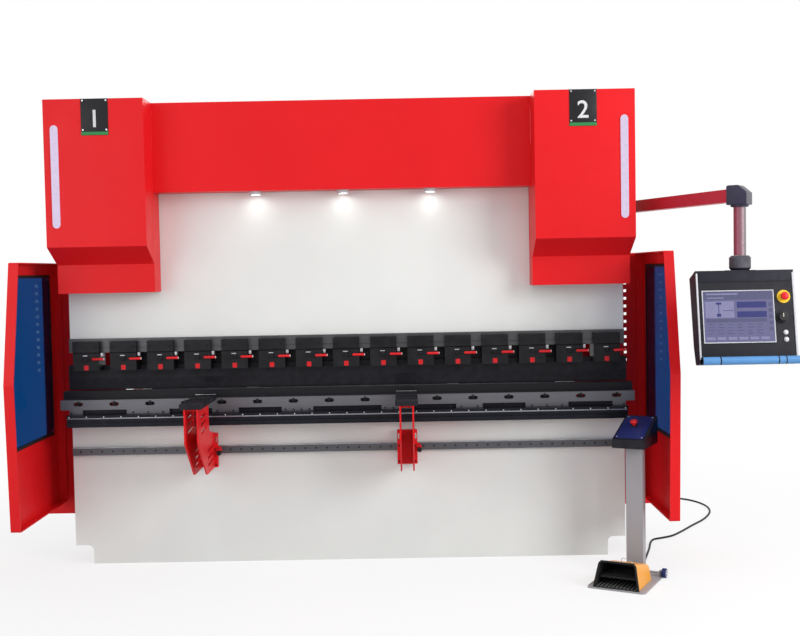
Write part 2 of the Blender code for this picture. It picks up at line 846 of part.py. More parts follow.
def cylinder_cover(name, side):
    """Folded sheet cover in front of a cylinder, open below and behind."""
    low, high = sorted((side * cover_inner, side * cover_outer))
    past, ceiling = cover_cut_past, cover_top - sheet
    outer = cover_outline(0) + [(cover_back, cover_bottom), (cover_back, ceiling), (cover_top_back, ceiling),
                                (cover_top_back, cover_top)]
    hollow = cover_outline(sheet)[:3] + [
        (-cover_lower_front + sheet, cover_bottom - past), (cover_back + past, cover_bottom - past),
        (cover_back + past, ceiling)]
    shell = plate(name, [outer], "X", low, high, red)
    cut = plate_mesh([hollow], "X", low + sheet, high - sheet)
    combine(shell, helper(name + " inside", cut), "DIFFERENCE")
    notch_low, notch_high = sorted((side * (cover_inner - cover_notch), side * (cover_inner + cover_notch)))
    notch = box_mesh((notch_low, -ram_thickness / 2 - cover_ram_gap, cover_bottom - past),
                     (notch_high, cover_back + past, ceiling))
    combine(shell, helper(name + " ram clearance", notch), "DIFFERENCE")
    return shell


def centre_cover():
    """Sheet cover over the middle of the ram, open behind."""
    half = cover_inner - seat
    back, bottom_back = cover_back, -ram_thickness / 2 - cover_ram_gap
    inner, floor, ceiling = -centre_front + sheet, centre_bottom + sheet, cover_top - sheet
    outline = [(-centre_front, centre_bottom), (bottom_back, centre_bottom), (bottom_back, floor),
               (inner, floor), (inner, ceiling), (back, ceiling), (back, cover_top),
               (-centre_front, cover_top)]
    return plate("centre_cover", [outline], "X", -half, half, red)


def led_strip(name, x):
    outline = slot((x, (led_bottom + led_top) / 2), led_top - led_bottom, led_width, 90, 5)
    return plate(name, [outline], "Y", -cover_front - led_thickness, -cover_front - seat, lamp)


def hinge_parts(x, y, base, web_low, web_high):
    """Barrel of a hinge and the web that holds it; the web's corners are (x, y) pairs."""
    barrel = outward(turned_mesh(rod_profile(hinge_radius, hinge_length), (x, y, base), (0, 0, 1), 12))
    web = box_mesh((*web_low, base + web_inset), (*web_high, base + hinge_length - web_inset))
    return barrel, web


def back_panel(name, side):
    """Perforated panel between the side frame and the guard, with hinge barrels."""
    low, high = sorted((side * (frame_outer + seat), side * panel_outer))
    half = hole_size / 2
    holes = []
    for index in range(hole_count):
        z = hole_top - hole_pitch * index
        holes.append(rectangle(side * hole_x - half, z - half, side * hole_x + half, z + half))
    outline = rectangle(low, panel_bottom, high, leaf_top)
    panel = plate(name, [outline] + holes, "Y", panel_front, panel_front + panel_thickness, red)
    x = side * hinge_x
    parts = [hinge_parts(x, hinge_y, z - hinge_length, (x - web_width / 2, hinge_y),
                         (x + web_width / 2, panel_front + overlap)) for z in hinge_heights]
    combine(panel, helper(name + " barrels", merge_meshes([barrel for barrel, web in parts])), "UNION")
    combine(panel, helper(name + " barrel webs", merge_meshes([web for barrel, web in parts])), "UNION")
    return panel


def leaf_front(z):
    """How far forward the leaf's straight upper front edge is at a height."""
    share = (leaf_top - z) / leaf_bend_height
    return leaf_front_top + (leaf_front_middle - leaf_front_top) * share


def guard(side_name, side):
    """Side guard: a folded tray with its window, hinged at the back."""
    low, high = sorted((side * leaf_inner, side * (leaf_inner + leaf_thickness)))
    bend = leaf_top - leaf_bend_height
    corners = [(leaf_back, leaf_bottom, leaf_radius), (leaf_back, leaf_top, leaf_radius),
               (-leaf_front_top, leaf_top, leaf_radius), (-leaf_front_middle, bend, leaf_bend_radius),
               (-leaf_front_bottom, leaf_bottom, leaf_radius)]
    upper = window_margin_front - leaf_front(window_top)
    lower = window_margin_front - leaf_front(bend)
    opening = [(window_back, window_bottom), (window_back, window_top), (upper, window_top), (lower, bend),
               (lower, window_bottom)]
    hole = rounded([(u, v, window_radius) for u, v in opening])
    leaf = plate(side_name + "_guard", [rounded(corners), hole], "X", low, high, red)
    skin_face = side * (leaf_inner + leaf_thickness - leaf_skin)
    tray = [(leaf_back - leaf_flange, leaf_bottom + leaf_flange),
            (leaf_back - leaf_flange, leaf_top - leaf_flange),
            (leaf_flange - leaf_front_top, leaf_top - leaf_flange), (leaf_flange - leaf_front_middle, bend),
            (leaf_flange - leaf_front_bottom, leaf_bottom + leaf_flange)]
    pocket = plate_mesh([tray], "X", *sorted((side * (leaf_inner - overlap), skin_face)))
    combine(leaf, helper(side_name + " guard tray", pocket), "DIFFERENCE")
    x = side * hinge_x
    web_low, web_high = sorted((side * (leaf_inner + leaf_thickness / 2), x))
    parts = [hinge_parts(x, hinge_y, z + seat, (web_low, leaf_back - web_depth),
                         (web_high, leaf_back - overlap)) for z in hinge_heights]
    webs = merge_meshes([web for barrel, web in parts])
    barrels = merge_meshes([barrel for barrel, web in parts])
    combine(leaf, helper(side_name + " guard webs", webs), "UNION")
    combine(leaf, helper(side_name + " guard barrels", barrels), "UNION")
    middle_y, middle_z = (window_back + lower) / 2, (window_bottom + window_top) / 2
    shrink_y = 1 - 2 * seat / (window_back - lower)
    shrink_z = 1 - 2 * seat / window_height
    pane = [(middle_y + (u - middle_y) * shrink_y, middle_z + (v - middle_z) * shrink_z) for u, v in hole]
    middle = side * (leaf_inner + leaf_thickness - leaf_skin / 2)
    glass = plate(side_name + "_guard_window", [pane], "X", middle - glass_thickness / 2,
                  middle + glass_thickness / 2, blue_glass)
    return swing(side_name + " guard axis", (x, hinge_y, 0), [leaf, glass])


def support(side_name, x):
    """Front support: two slotted plates on a saddle that slides along the guide rail."""
    back = bed_front - guide_rail_depth - seat
    face = back - saddle_thickness
    saddle_side = saddle_width / 2
    ear_x, ear_z = saddle_side - ear_slot_inset, saddle_top - ear_slot_drop
    ears = [slot((x + side * ear_x, ear_z), ear_slot_height, ear_slot_width, 90) for side in (-1, 1)]
    outline = rectangle(x - saddle_side, saddle_bottom, x + saddle_side, saddle_top)
    saddle = plate(side_name + "_support_arm", [outline] + ears, "Y", face, back, red)
    root = face + saddle_thickness / 3
    step = saddle_top + support_step_rise
    corners = [(root, saddle_bottom, 0), (root, step, 0),
               (-support_upper_back, step + support_slope, support_slope),
               (-support_upper_back, support_top, 0), (-support_upper_front, support_top, 0),
               (-support_upper_front, support_top - support_upper_height, support_slope),
               (-support_lower_front, saddle_bottom, support_slope)]
    holes = []
    for index in range(support_slot_count):
        drop = support_slot_pitch * index
        holes.append(slot((-support_upper_slot, support_top - support_upper_slot_drop - drop),
                          support_slot_length, support_slot_width, support_slot_tilt))
        holes.append(slot((-support_lower_slot, saddle_bottom + support_lower_slot_rise + drop),
                          support_slot_length, support_slot_width, support_slot_tilt))
    half_gap = support_gap / 2
    sides = [outward(plate_mesh([rounded(corners)] + holes, "X", x + edge, x + edge + support_plate))
             for edge in (-half_gap - support_plate, half_gap)]
    combine(saddle, helper(side_name + " support plates", merge_meshes(sides)), "UNION")
    bridge = box_mesh((x - half_gap - overlap, -support_upper_front + support_slope,
                       support_top - support_bridge_height),
                      (x + half_gap + overlap, -support_upper_back - support_slope, support_top - overlap))
    combine(saddle, helper(side_name + " support bridge", bridge), "UNION")
    shank = turned_mesh(rod_profile(knob_radius, knob_length),
                        (x + saddle_side - knob_sink, face + saddle_thickness / 2, saddle_top - knob_drop),
                        (1, 0, 0), 14)
    combine(saddle, helper(side_name + " support knob", outward(shank)), "UNION")
    rest = box(side_name + "_support_rest", (x - rest_width / 2, -rest_front, support_top + seat),
               (x + rest_width / 2, -rest_back, support_top + rest_thickness), black, rest_bevel)
    return swing(side_name + " support axis", (x, back, guide_rail_bottom), [saddle, rest])


def oil_tank():
    """Oil tank between the side frames, with an overhanging lid."""
    half = frame_inner - seat
    back = tank_front + tank_depth
    low, top = tank_bottom, tank_bottom + tank_height
    lid, rim_back, rim_front = top - tank_lid, back + tank_lid_overhang, tank_front - tank_lid_overhang
    outline = [(tank_front, low), (back, low), (back, lid), (rim_back, lid), (rim_back, top),
               (rim_front, top), (rim_front, lid), (tank_front, lid)]
    return plate("oil_tank", [outline], "X", -half, half, off_white)


def pump_motor():
    """Motor and pump lying on the tank's lid, on a foot."""
    base = tank_bottom + tank_height + seat
    z = base + motor_clearance + motor_radius
    y = tank_front + tank_depth / 2
    end, half = motor_radius * motor_end_share, motor_length / 2
    bell, shoulder = motor_bell, motor_bell + motor_bell_slope
    profile = [(0, 0), (end, 0), (end, bell), (motor_radius, shoulder),
               (motor_radius, motor_length - shoulder), (end, motor_length - bell), (end, motor_length),
               (pump_radius, motor_length),
               (pump_radius, motor_length + pump_length), (0, motor_length + pump_length)]
    body = turned("pump_motor", profile, (-half, y, z), (1, 0, 0), 24, grey)
    reach = half * motor_foot_share
    foot = box_mesh((-reach, y - motor_foot_width / 2, base),
                    (reach, y + motor_foot_width / 2, z - motor_radius * motor_foot_share))
    combine(body, helper("motor foot", foot), "UNION")
    return body


def rear_tie():
    """Beam that joins the side frames low at the back."""
    half = frame_inner - seat
    back = frame_back - tie_back_margin
    return box("rear_tie_beam", (-half, back - tie_depth, tie_bottom), (half, back, tie_bottom + tie_height),
               off_white)


def back_gauge():
    """Back gauge beam between the side frames, with two stop fingers."""
    half = frame_inner - seat
    beam = box("back_gauge", (-half, gauge_front, gauge_bottom),
               (half, gauge_front + gauge_depth, gauge_bottom + gauge_height), grey)
    root, foot, tip = gauge_front + finger_root, gauge_bottom + finger_sink, gauge_front - finger_reach
    top, under = die_top + finger_rise, die_top - finger_lips * finger_lip
    profile = [(root, foot), (root, top), (tip, top), (tip, die_top - finger_lip),
               (tip + finger_slope, under), (gauge_front - finger_rise, under),
               (gauge_front - finger_lip, foot)]
    fingers = [outward(plate_mesh([profile], "X", x - finger_width / 2, x + finger_width / 2))
               for x in (-finger_x, finger_x)]
    combine(beam, helper("stop fingers", merge_meshes(fingers)), "UNION")
    return beam


def electrical_cabinet():
    """Cabinet on the right side frame, with the pendant's post on its top."""
    low = frame_outer + seat
    high, back, margin = low + cabinet_width, cabinet_front + cabinet_depth, cabinet_door_margin
    cabinet = box("electrical_cabinet", (low, cabinet_front, cabinet_bottom), (high, back, cabinet_top),
                  off_white)
    door = box_mesh((high - overlap, cabinet_front + margin, cabinet_bottom + margin),
                    (high + cabinet_door, back - margin, cabinet_top - margin))
    combine(cabinet, helper("cabinet door", door), "UNION")
    post_low = cabinet_top - margin
    post = turned_mesh(rod_profile(pivot_radius, arm_z - arm_height / 2 - seat - post_low),
                       (pivot_x, pivot_y, post_low), (0, 0, 1), 20)
    combine(cabinet, helper("pendant post", outward(post)), "UNION")
    return cabinet


def pendant():
    """Swinging arm, its elbow and drop tube, and the control housing on a swivel."""
    bottom = arm_z - arm_height / 2
    direction = Vector((elbow_x - pivot_x, elbow_y - pivot_y, 0))
    turn = Matrix.Rotation(math.atan2(direction.y, direction.x), 4, "Z")
    boss = rod_profile(pivot_radius, arm_height)
    arm = turned("pendant_arm", boss, (pivot_x, pivot_y, bottom), (0, 0, 1), 20, grey)
    beam = box_mesh((0, -arm_width / 2, bottom + overlap),
                    (direction.length - elbow_width / 2 - seat, arm_width / 2, bottom + arm_height - overlap))
    at_pivot = Matrix.Translation((pivot_x, pivot_y, 0))
    combine(arm, helper("pendant arm tube", moved(beam, at_pivot @ turn)), "UNION")

    elbow_low, half = arm_z - elbow_height / 2, elbow_width / 2
    knuckle = box_mesh((-half, -half, elbow_low), (half, half, elbow_low + elbow_height))
    bmesh.ops.bevel(knuckle, geom=knuckle.edges[:], offset=elbow_bevel, segments=1, affect="EDGES")
    at_elbow = Matrix.Translation((elbow_x, elbow_y, 0))
    elbow = finish("pendant_elbow", moved(knuckle, at_elbow @ turn), dark_grey)
    tube = turned_mesh(rod_profile(drop_radius, elbow_low + elbow_bevel - drop_bottom),
                       (elbow_x, elbow_y, drop_bottom), (0, 0, 1), 20)
    combine(elbow, helper("pendant drop tube", outward(tube)), "UNION")

    housing_top = drop_bottom - seat - collar_height
    collar = [(0, 0), (collar_radius - collar_bevel, 0), (collar_radius, collar_bevel),
              (collar_radius, collar_height - collar_bevel), (collar_radius - collar_bevel, collar_height),
              (0, collar_height)]
    swivel = outward(turned_mesh(collar, (elbow_x, elbow_y, housing_top), (0, 0, 1), 20))
    tilt = Matrix.Translation((elbow_x + housing_shift, elbow_y, housing_top)) @ Matrix.Rotation(
        -math.radians(housing_tilt), 4, "X")
    half, depth = housing_width / 2, housing_depth / 2
    cap = depth * math.tan(math.radians(housing_tilt))
    side_depth, side_height = housing_back_side
    side_view = [(-depth, -cap, 0), (depth, -cap * housing_back_drop, 0),
                 (depth * side_depth, -housing_height * side_height, housing_round),
                 (depth * housing_back_foot, -housing_height, housing_round),
                 (-depth, -housing_height, housing_front_round)]
    shell = plate_mesh([rounded(side_view)], "X", -half, half)
    housing = finish("pendant_housing", moved(shell, tilt), dark_grey)
    crown = box_mesh((elbow_x - crown_width / 2, elbow_y - crown_depth / 2, housing_top - crown_sink),
                     (elbow_x + crown_width / 2, elbow_y + crown_depth / 2, housing_top + overlap))
    combine(housing, helper("pendant crown", crown), "UNION")
    combine(housing, helper("pendant collar", swivel), "UNION")

    grip_y = -depth - handle_radius - handle_stand_off
    grip = turned_mesh(rod_profile(handle_radius, handle_length),
                       (-handle_length / 2, grip_y, -housing_height + handle_rise), (1, 0, 0), 14)
    handle = finish("pendant_handle", moved(grip, tilt), blue_plastic, 40)
    low = -housing_height + handle_bracket_low
    ends = [box_mesh((x - handle_bracket_width / 2, grip_y, low),
                     (x + handle_bracket_width / 2, -depth - seat, low + handle_bracket_height))
            for x in (-handle_bracket_x, handle_bracket_x)]
    combine(handle, helper("handle brackets", moved(merge_meshes(ends), tilt)), "UNION")
    swivel_hub = swing("housing axis", (elbow_x, elbow_y, drop_bottom), [housing, handle])
    arm_hub = swing("pendant axis", (pivot_x, pivot_y, bottom), [arm, elbow])
    swivel_hub.parent = arm_hub
    swivel_hub.matrix_parent_inverse = arm_hub.matrix_world.inverted()
    return arm_hub


def pedestal_place():
    turn = Matrix.Rotation(-math.radians(pedestal_yaw), 4, "Z")
    return Matrix.Translation((pedestal_x, pedestal_y, 0)) @ turn


def set_down(bm):
    """Move a shape from the pedestal's own axes to its place on the floor."""
    return moved(bm, pedestal_place())


def pedestal():
    """Foot switch pedestal: base, column, console, hood, pedal and wheels."""
    half, front, base_top = base_width / 2, base_back - base_depth, base_thickness
    base = plate_mesh([rectangle(-half, front, half, base_back, base_corner)], "Z", 0, base_top)
    foot = finish("pedestal_base", set_down(base), dark_grey)
    post = box_mesh((-column_width / 2, -column_depth / 2, base_top - overlap),
                    (column_width / 2, column_depth / 2, column_top))
    combine(foot, helper("pedestal post", set_down(post)), "UNION")
    axle_y, axle_z = -column_depth / 2 - axle_gap, wheel_radius + wheel_lift
    ears = [box_mesh((x - ear_width / 2, axle_y - ear_half_depth, base_top - overlap),
                     (x + ear_width / 2, axle_y + ear_half_depth, axle_z + ear_half_depth))
            for x in (-half + ear_inset, half - ear_inset)]
    combine(foot, helper("wheel ears", set_down(merge_meshes(ears))), "UNION")
    gland = turned_mesh(rod_profile(gland_radius, gland_length + overlap),
                        (0, column_depth / 2 - overlap, gland_height), (0, 1, 0), 14)
    combine(foot, helper("cable gland", set_down(outward(gland))), "UNION")
    bore = turned_mesh(rod_profile(wheel_axle + slide_fit, base_width), (-half, axle_y, axle_z), (1, 0, 0),
                       12)
    combine(foot, helper("axle bore", set_down(bore)), "DIFFERENCE")

    rim, hub = half + wheel_width, half + wheel_side_gap
    wheel_profile = [(0, -rim), (wheel_radius, -rim), (wheel_radius, -hub), (wheel_axle, -hub),
                     (wheel_axle, hub), (wheel_radius, hub), (wheel_radius, rim), (0, rim)]
    wheels = turned_mesh(wheel_profile, (0, axle_y, axle_z), (1, 0, 0), 24)
    wheelset = finish("pedestal_wheels", set_down(wheels), rubber, 40)

    box_low = column_top + seat
    depth = console_depth / 2
    side_view = [(-depth, box_low), (depth, box_low), (depth, box_low + console_back_height),
                 (-depth, box_low + console_front_height)]
    console = plate_mesh([side_view], "X", -console_width / 2, console_width / 2)
    finish("pedestal_console", set_down(console), black)

    low, high = base_top + seat, base_top + hood_height
    hood_back, hood_half = -hood_forward + hood_depth, hood_width / 2
    crest = hood_back - hood_depth * hood_crest
    back_top, front_top = base_top + hood_height * hood_back_share, base_top + hood_height * hood_front_share
    hood_side = rounded([(hood_back, low, 0), (hood_back, back_top, hood_round), (crest, high, hood_round),
                         (-hood_forward - hood_lip, front_top, hood_lip_round), (-hood_forward, low, 0)])
    hood = finish("foot_switch_hood", set_down(plate_mesh([hood_side], "X", -hood_half, hood_half)), yellow)
    inner_back, past = hood_back - hood_wall, -hood_forward - hood_past
    mouth_top = base_top + hood_height * hood_mouth_share
    cavity = [(inner_back, base_top + hood_wall), (inner_back, back_top - hood_wall),
              (crest, high - hood_wall), (past, mouth_top), (past, base_top + hood_wall)]
    mouth = plate_mesh([cavity], "X", -hood_half + hood_wall, hood_half - hood_wall)
    combine(hood, helper("hood mouth", set_down(mouth)), "DIFFERENCE")

    hinge_line, hinge_height = inner_back - pedal_set_back, base_top + pedal_rise
    inside = hood_half - hood_wall
    tread_half, nose = pedal_thickness / 2, -hood_forward + pedal_front_gap
    pedal = plate_mesh([[(hinge_line, hinge_height - tread_half), (hinge_line, hinge_height + tread_half),
                         (nose, hinge_height + tread_half / 2), (nose, hinge_height - tread_half)]],
                       "X", -inside + pedal_side_gap, inside - pedal_side_gap)
    tread = finish("foot_pedal", set_down(pedal), rubber)
    axle = turned_mesh(rod_profile(pedal_axle_radius, 2 * (inside - seat)),
                       (-inside + seat, hinge_line, hinge_height), (1, 0, 0), 12)
    combine(tread, helper("pedal axle", set_down(axle)), "UNION")
    place = pedestal_place()
    swing("pedal axis", place @ Vector((0, hinge_line, hinge_height)), [tread])
    swing("wheel axis", place @ Vector((0, axle_y, axle_z)), [wheelset])
    return foot


def cable():
    """The foot switch's cable, lying on the floor to the machine."""
    floor = cable_radius + cable_lift
    gland_end = column_depth / 2 + gland_length + cable_lift
    place = pedestal_place()
    route = [place @ Vector((0, gland_end, gland_height)),
             place @ Vector((0, gland_end + cable_straight * gland_length - floor, gland_height))]
    back_shift = frame_back - cabinet_back_margin - cable_end_margin - cable_loop[-1][1]
    for out, y, z in cable_loop:
        shift = back_shift if y > pivot_y else 0
        route.append(Vector((frame_outer + out, y + shift, max(z, floor))))
    end_y = frame_back - cabinet_back_margin - cable_end_margin
    route.append(Vector((frame_outer + cable_end_x, end_y, cabinet_bottom - seat)))
    fine = []
    for index in range(len(route) - 1):
        p = [route[max(0, min(len(route) - 1, index + k))] for k in (-1, 0, 1, 2)]
        for step in range(cable_steps):
            t = step / cable_steps
            fine.append(0.5 * (2 * p[1] + (p[2] - p[0]) * t + (2 * p[0] - 5 * p[1] + 4 * p[2] - p[3]) * t * t
                               + (3 * p[1] - p[0] - 3 * p[2] + p[3]) * t ** 3))
    fine.append(route[-1])
    for point in fine:
        point.z = max(point.z, floor)
    curve = bpy.data.curves.new("foot_switch_cable", "CURVE")
    curve.dimensions = "3D"
    line = curve.splines.new("POLY")
    line.points.add(len(fine) - 1)
    for point, where in zip(line.points, fine):
        point.co = (*where, 1)
    curve.bevel_depth = cable_radius
    curve.bevel_resolution = 2
    curve.render_resolution_u = 0
    curve.use_fill_caps = True
    curve.materials.append(rubber)
    piece = bpy.data.objects.new("foot_switch_cable", curve)
    bpy.context.scene.collection.objects.link(piece)
    return piece


bed_plate()
side_frame("left_side_frame", -frame_outer, -frame_inner)
side_frame("right_side_frame", frame_inner, frame_outer)
die_table()
wedge_bar()
lower_die()
front_rail()
guide_rail()
cylinder("left_cylinder", -cylinder_x)
cylinder("right_cylinder", cylinder_x)
ram_pieces = [ram_plate(), clamp_bar(), punch(), piston_rod("left_piston_rod", -cylinder_x),
              piston_rod("right_piston_rod", cylinder_x)]
levers = [clamp_lever(index + 1, x) for index, x in enumerate(clamp_positions())]
swing("ram axis", (0, 0, ram_bottom), ram_pieces + levers)
cylinder_cover("left_cylinder_cover", -1)
cylinder_cover("right_cylinder_cover", 1)
centre_cover()
led_strip("left_led_strip", -led_x)
led_strip("right_led_strip", led_x)
back_panel("left_back_panel", -1)
back_panel("right_back_panel", 1)
guard("left", -1)
guard("right", 1)
support("left", support_positions[0])
support("right", support_positions[1])
oil_tank()
pump_motor()
rear_tie()
back_gauge()
electrical_cabinet()
pendant()
pedestal()
cable()
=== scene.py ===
import bpy
import bmesh
import json
import math
from mathutils import Matrix, Vector


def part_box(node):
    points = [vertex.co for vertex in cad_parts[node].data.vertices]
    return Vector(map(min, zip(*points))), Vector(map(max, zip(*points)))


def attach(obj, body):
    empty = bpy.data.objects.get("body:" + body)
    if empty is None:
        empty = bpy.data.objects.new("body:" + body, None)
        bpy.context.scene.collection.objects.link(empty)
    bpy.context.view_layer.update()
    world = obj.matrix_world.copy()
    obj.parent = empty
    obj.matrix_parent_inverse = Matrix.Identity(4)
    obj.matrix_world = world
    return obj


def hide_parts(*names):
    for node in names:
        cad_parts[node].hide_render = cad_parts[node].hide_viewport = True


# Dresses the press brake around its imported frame: paint, steel, screws, lamps, screen, cable and floor.

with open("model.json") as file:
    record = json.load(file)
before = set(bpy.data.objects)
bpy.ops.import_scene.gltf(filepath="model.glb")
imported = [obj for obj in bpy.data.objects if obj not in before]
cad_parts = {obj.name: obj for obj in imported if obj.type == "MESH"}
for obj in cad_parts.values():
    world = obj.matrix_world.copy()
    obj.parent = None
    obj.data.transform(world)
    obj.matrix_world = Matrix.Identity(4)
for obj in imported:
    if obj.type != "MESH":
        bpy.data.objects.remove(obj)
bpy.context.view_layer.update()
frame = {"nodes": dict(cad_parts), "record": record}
scene = bpy.context.scene
nodes = frame["nodes"]
front, back, left, right, up, down = (0, -1, 0), (0, 1, 0), (-1, 0, 0), (1, 0, 0), (0, 0, 1), (0, 0, -1)
sides = ((-1, "left"), (1, "right"))


def turned(degrees, axis):
    return Matrix.Rotation(math.radians(degrees), 4, axis)


# Camera, matched to the photograph's lines

cameraSettings = {
    "place": (0.33, -6.185, 1.622),
    "pitch": 2.47,        # degrees down
    "turn": 0.26,         # degrees to the left
    "roll": -1.06,        # the photograph leans a little
    "lens": 49.5,
}


def makeCamera(place, pitch, turn, roll, lens):
    data = bpy.data.cameras.new("camera")
    data.lens = lens
    data.sensor_width = 36
    camera = bpy.data.objects.new("camera", data)
    scene.collection.objects.link(camera)
    aim = turned(turn, "Z") @ turned(90 - pitch, "X") @ turned(roll, "Z")
    camera.matrix_world = Matrix.Translation(place) @ aim
    scene.camera = camera


makeCamera(**cameraSettings)
print("camera set")


# Node helpers: an input is linked where the value is a socket, and set where it is a constant

def plug(tree, socket, value):
    if isinstance(value, bpy.types.NodeSocket):
        tree.links.new(value, socket)
    elif isinstance(value, tuple) and len(value) == 3 and socket.type == "RGBA":
        socket.default_value = (*value, 1)
    else:
        socket.default_value = value


def feed(tree, node, **inputs):
    for key, value in inputs.items():
        plug(tree, node.inputs[key.replace("_", " ")], value)


def addNode(tree, kind, **inputs):
    node = tree.nodes.new(kind)
    feed(tree, node, **inputs)
    return node


def joined(tree, kind, *values, operation=None):
    node = tree.nodes.new(kind)
    if operation:
        node.operation = operation
    for socket, value in zip(node.inputs, values):
        plug(tree, socket, value)
    return node.outputs[0]


def newMaterial(name):
    shade = bpy.data.materials.new(name)
    shade.use_nodes = True
    tree = shade.node_tree
    return shade, tree, tree.nodes["Principled BSDF"]


def objectCoordinates(tree, scale=(1, 1, 1)):
    place = tree.nodes.new("ShaderNodeTexCoord").outputs["Object"]
    return addNode(tree, "ShaderNodeMapping", Vector=place, Scale=scale).outputs["Vector"]


def axisLevels(tree):
    split = tree.nodes.new("ShaderNodeSeparateXYZ")
    plug(tree, split.inputs[0], objectCoordinates(tree))
    return split.outputs


def noise(tree, vector, scale, detail=2.0, roughness=0.5):
    node = addNode(tree, "ShaderNodeTexNoise", Vector=vector, Scale=scale, Detail=detail, Roughness=roughness)
    return node.outputs["Fac"]


def mapRange(tree, value, low, high, fromLow=0.3, fromHigh=0.7):
    node = addNode(tree, "ShaderNodeMapRange", Value=value, From_Min=fromLow, From_Max=fromHigh, To_Min=low,
                   To_Max=high)
    return node.outputs["Result"]


def mixColour(tree, factor, first, second):
    node = tree.nodes.new("ShaderNodeMix")
    node.data_type = "RGBA"
    for socket, value in ((0, factor), (6, first), (7, second)):
        plug(tree, node.inputs[socket], value)
    return node.outputs[2]


# The colour between two levels of itself, by the marks of a noise
def spread(tree, marks, colour, low, high):
    darker, lighter = (tuple(min(1.0, c * level) for c in colour) for level in (low, high))
    return mixColour(tree, mapRange(tree, marks, 0.0, 1.0), darker, lighter)


def bump(tree, height, strength, distance):
    node = addNode(tree, "ShaderNodeBump", Height=height, Strength=strength, Distance=distance)
    return node.outputs["Normal"]


# Materials

def paint(name, colour, roughness=0.38, peel=0.12, gloss=0.22):
    shade, tree, shader = newMaterial(name)
    vector = objectCoordinates(tree)
    feed(tree, shader, Base_Color=spread(tree, noise(tree, vector, 1.6, 3), colour, 0.96, 1.04),
         Roughness=mapRange(tree, noise(tree, vector, 9, 4), roughness - 0.05, roughness + 0.07),
         Normal=bump(tree, noise(tree, vector, 700, 1), peel, 0.0006),
         Specular_IOR_Level=gloss, Coat_Weight=0.04, Coat_Roughness=0.18)
    return shade


def brushedMetal(name, colour, roughness, metallic=0.85, contrast=0.16, scale=(3, 260, 260)):
    shade, tree, shader = newMaterial(name)
    lines = noise(tree, objectCoordinates(tree, scale), 1.0, 4, 0.65)
    patches = noise(tree, objectCoordinates(tree), 5, 3)
    tone = spread(tree, lines, colour, 1 - contrast, 1 + contrast)
    feed(tree, shader, Metallic=metallic,
         Base_Color=mixColour(tree, mapRange(tree, patches, 0.0, 0.35), tone, tuple(c * 0.8 for c in colour)),
         Roughness=mapRange(tree, lines, roughness - 0.08, roughness + 0.12),
         Normal=bump(tree, lines, 0.18, 0.0004))
    return shade


def blackSteel(name, colour, roughness):
    shade, tree, shader = newMaterial(name)
    vector = objectCoordinates(tree)
    oily = noise(tree, objectCoordinates(tree, (2, 9, 9)), 1.5, 4)
    feed(tree, shader, Base_Color=spread(tree, noise(tree, vector, 22, 5, 0.6), colour, 0.75, 1.5),
         Roughness=mapRange(tree, oily, roughness - 0.12, roughness + 0.12),
         Normal=bump(tree, noise(tree, vector, 350, 2), 0.1, 0.0006),
         Metallic=0.2, Specular_IOR_Level=0.16)
    return shade


# Two finishes on one node, or a painted highlight band: the second where any of the limits (axis, level, above)
# holds
def twoFinishesOrPaintedHighlight(name, first, second, limits, roughness=(0.38, 0.42), metallic=(0.85, 0.35)):
    shade, tree, shader = newMaterial(name)
    levels, mask = axisLevels(tree), None
    for axis, limit, above in limits:
        beyond = "GREATER_THAN" if above else "LESS_THAN"
        test = joined(tree, "ShaderNodeMath", levels[axis], limit, operation=beyond)
        mask = joined(tree, "ShaderNodeMath", mask, test, operation="MAXIMUM") if mask else test
    lines = noise(tree, objectCoordinates(tree, (3, 260, 260)), 1.0, 4, 0.65)
    mottled = noise(tree, objectCoordinates(tree), 14, 4)
    feed(tree, shader, Specular_IOR_Level=0.2,
         Base_Color=mixColour(tree, mask, spread(tree, lines, first, 0.84, 1.16),
                              spread(tree, mottled, second, 0.7, 1.5)),
         Roughness=mapRange(tree, mask, *roughness, 0, 1), Metallic=mapRange(tree, mask, *metallic, 0, 1),
         Normal=bump(tree, lines, 0.12, 0.0004))
    return shade


def plastic(name, colour, roughness=0.45, grain=0.25, gloss=0.2):
    shade, tree, shader = newMaterial(name)
    vector = objectCoordinates(tree)
    feed(tree, shader, Base_Color=spread(tree, noise(tree, vector, 6, 3), colour, 0.93, 1.07),
         Roughness=mapRange(tree, noise(tree, vector, 30, 3), roughness - 0.05, roughness + 0.08),
         Normal=bump(tree, noise(tree, vector, 900, 2), grain, 0.0004), Specular_IOR_Level=gloss)
    return shade


# Bare tube with a painted reflection: its colour runs from one tone to another along X, standing in for the red
# covers reflected in the steel
def steelWithPaintedReflection(name, startTone, endTone, start, end):
    shade, tree, shader = newMaterial(name)
    fine = noise(tree, objectCoordinates(tree, (40, 40, 40)), 2.0, 4)
    along = mapRange(tree, axisLevels(tree)["X"], 0.0, 1.0, start, end)
    feed(tree, shader, Base_Color=mixColour(tree, along, startTone, endTone), Metallic=0.3, Specular_IOR_Level=0.25,
         Roughness=mapRange(tree, fine, 0.30, 0.48), Normal=bump(tree, fine, 0.05, 0.0004))
    return shade


def glow(name, colour, strength, base=(0.01, 0.01, 0.02)):
    shade, tree, shader = newMaterial(name)
    frosted = noise(tree, objectCoordinates(tree), 60, 2)
    feed(tree, shader, Base_Color=base, Emission_Color=colour, Roughness=0.35, Specular_IOR_Level=0.12,
         Emission_Strength=mapRange(tree, frosted, strength * 0.94, strength * 1.06))
    return shade


def tintedGlass(name, colour):
    shade, tree, shader = newMaterial(name)
    smudge = noise(tree, objectCoordinates(tree), 7, 4)
    feed(tree, shader, Base_Color=colour, Roughness=mapRange(tree, smudge, 0.03, 0.09),
         Transmission_Weight=0.94, Specular_IOR_Level=0.08, IOR=1.12)
    return shade


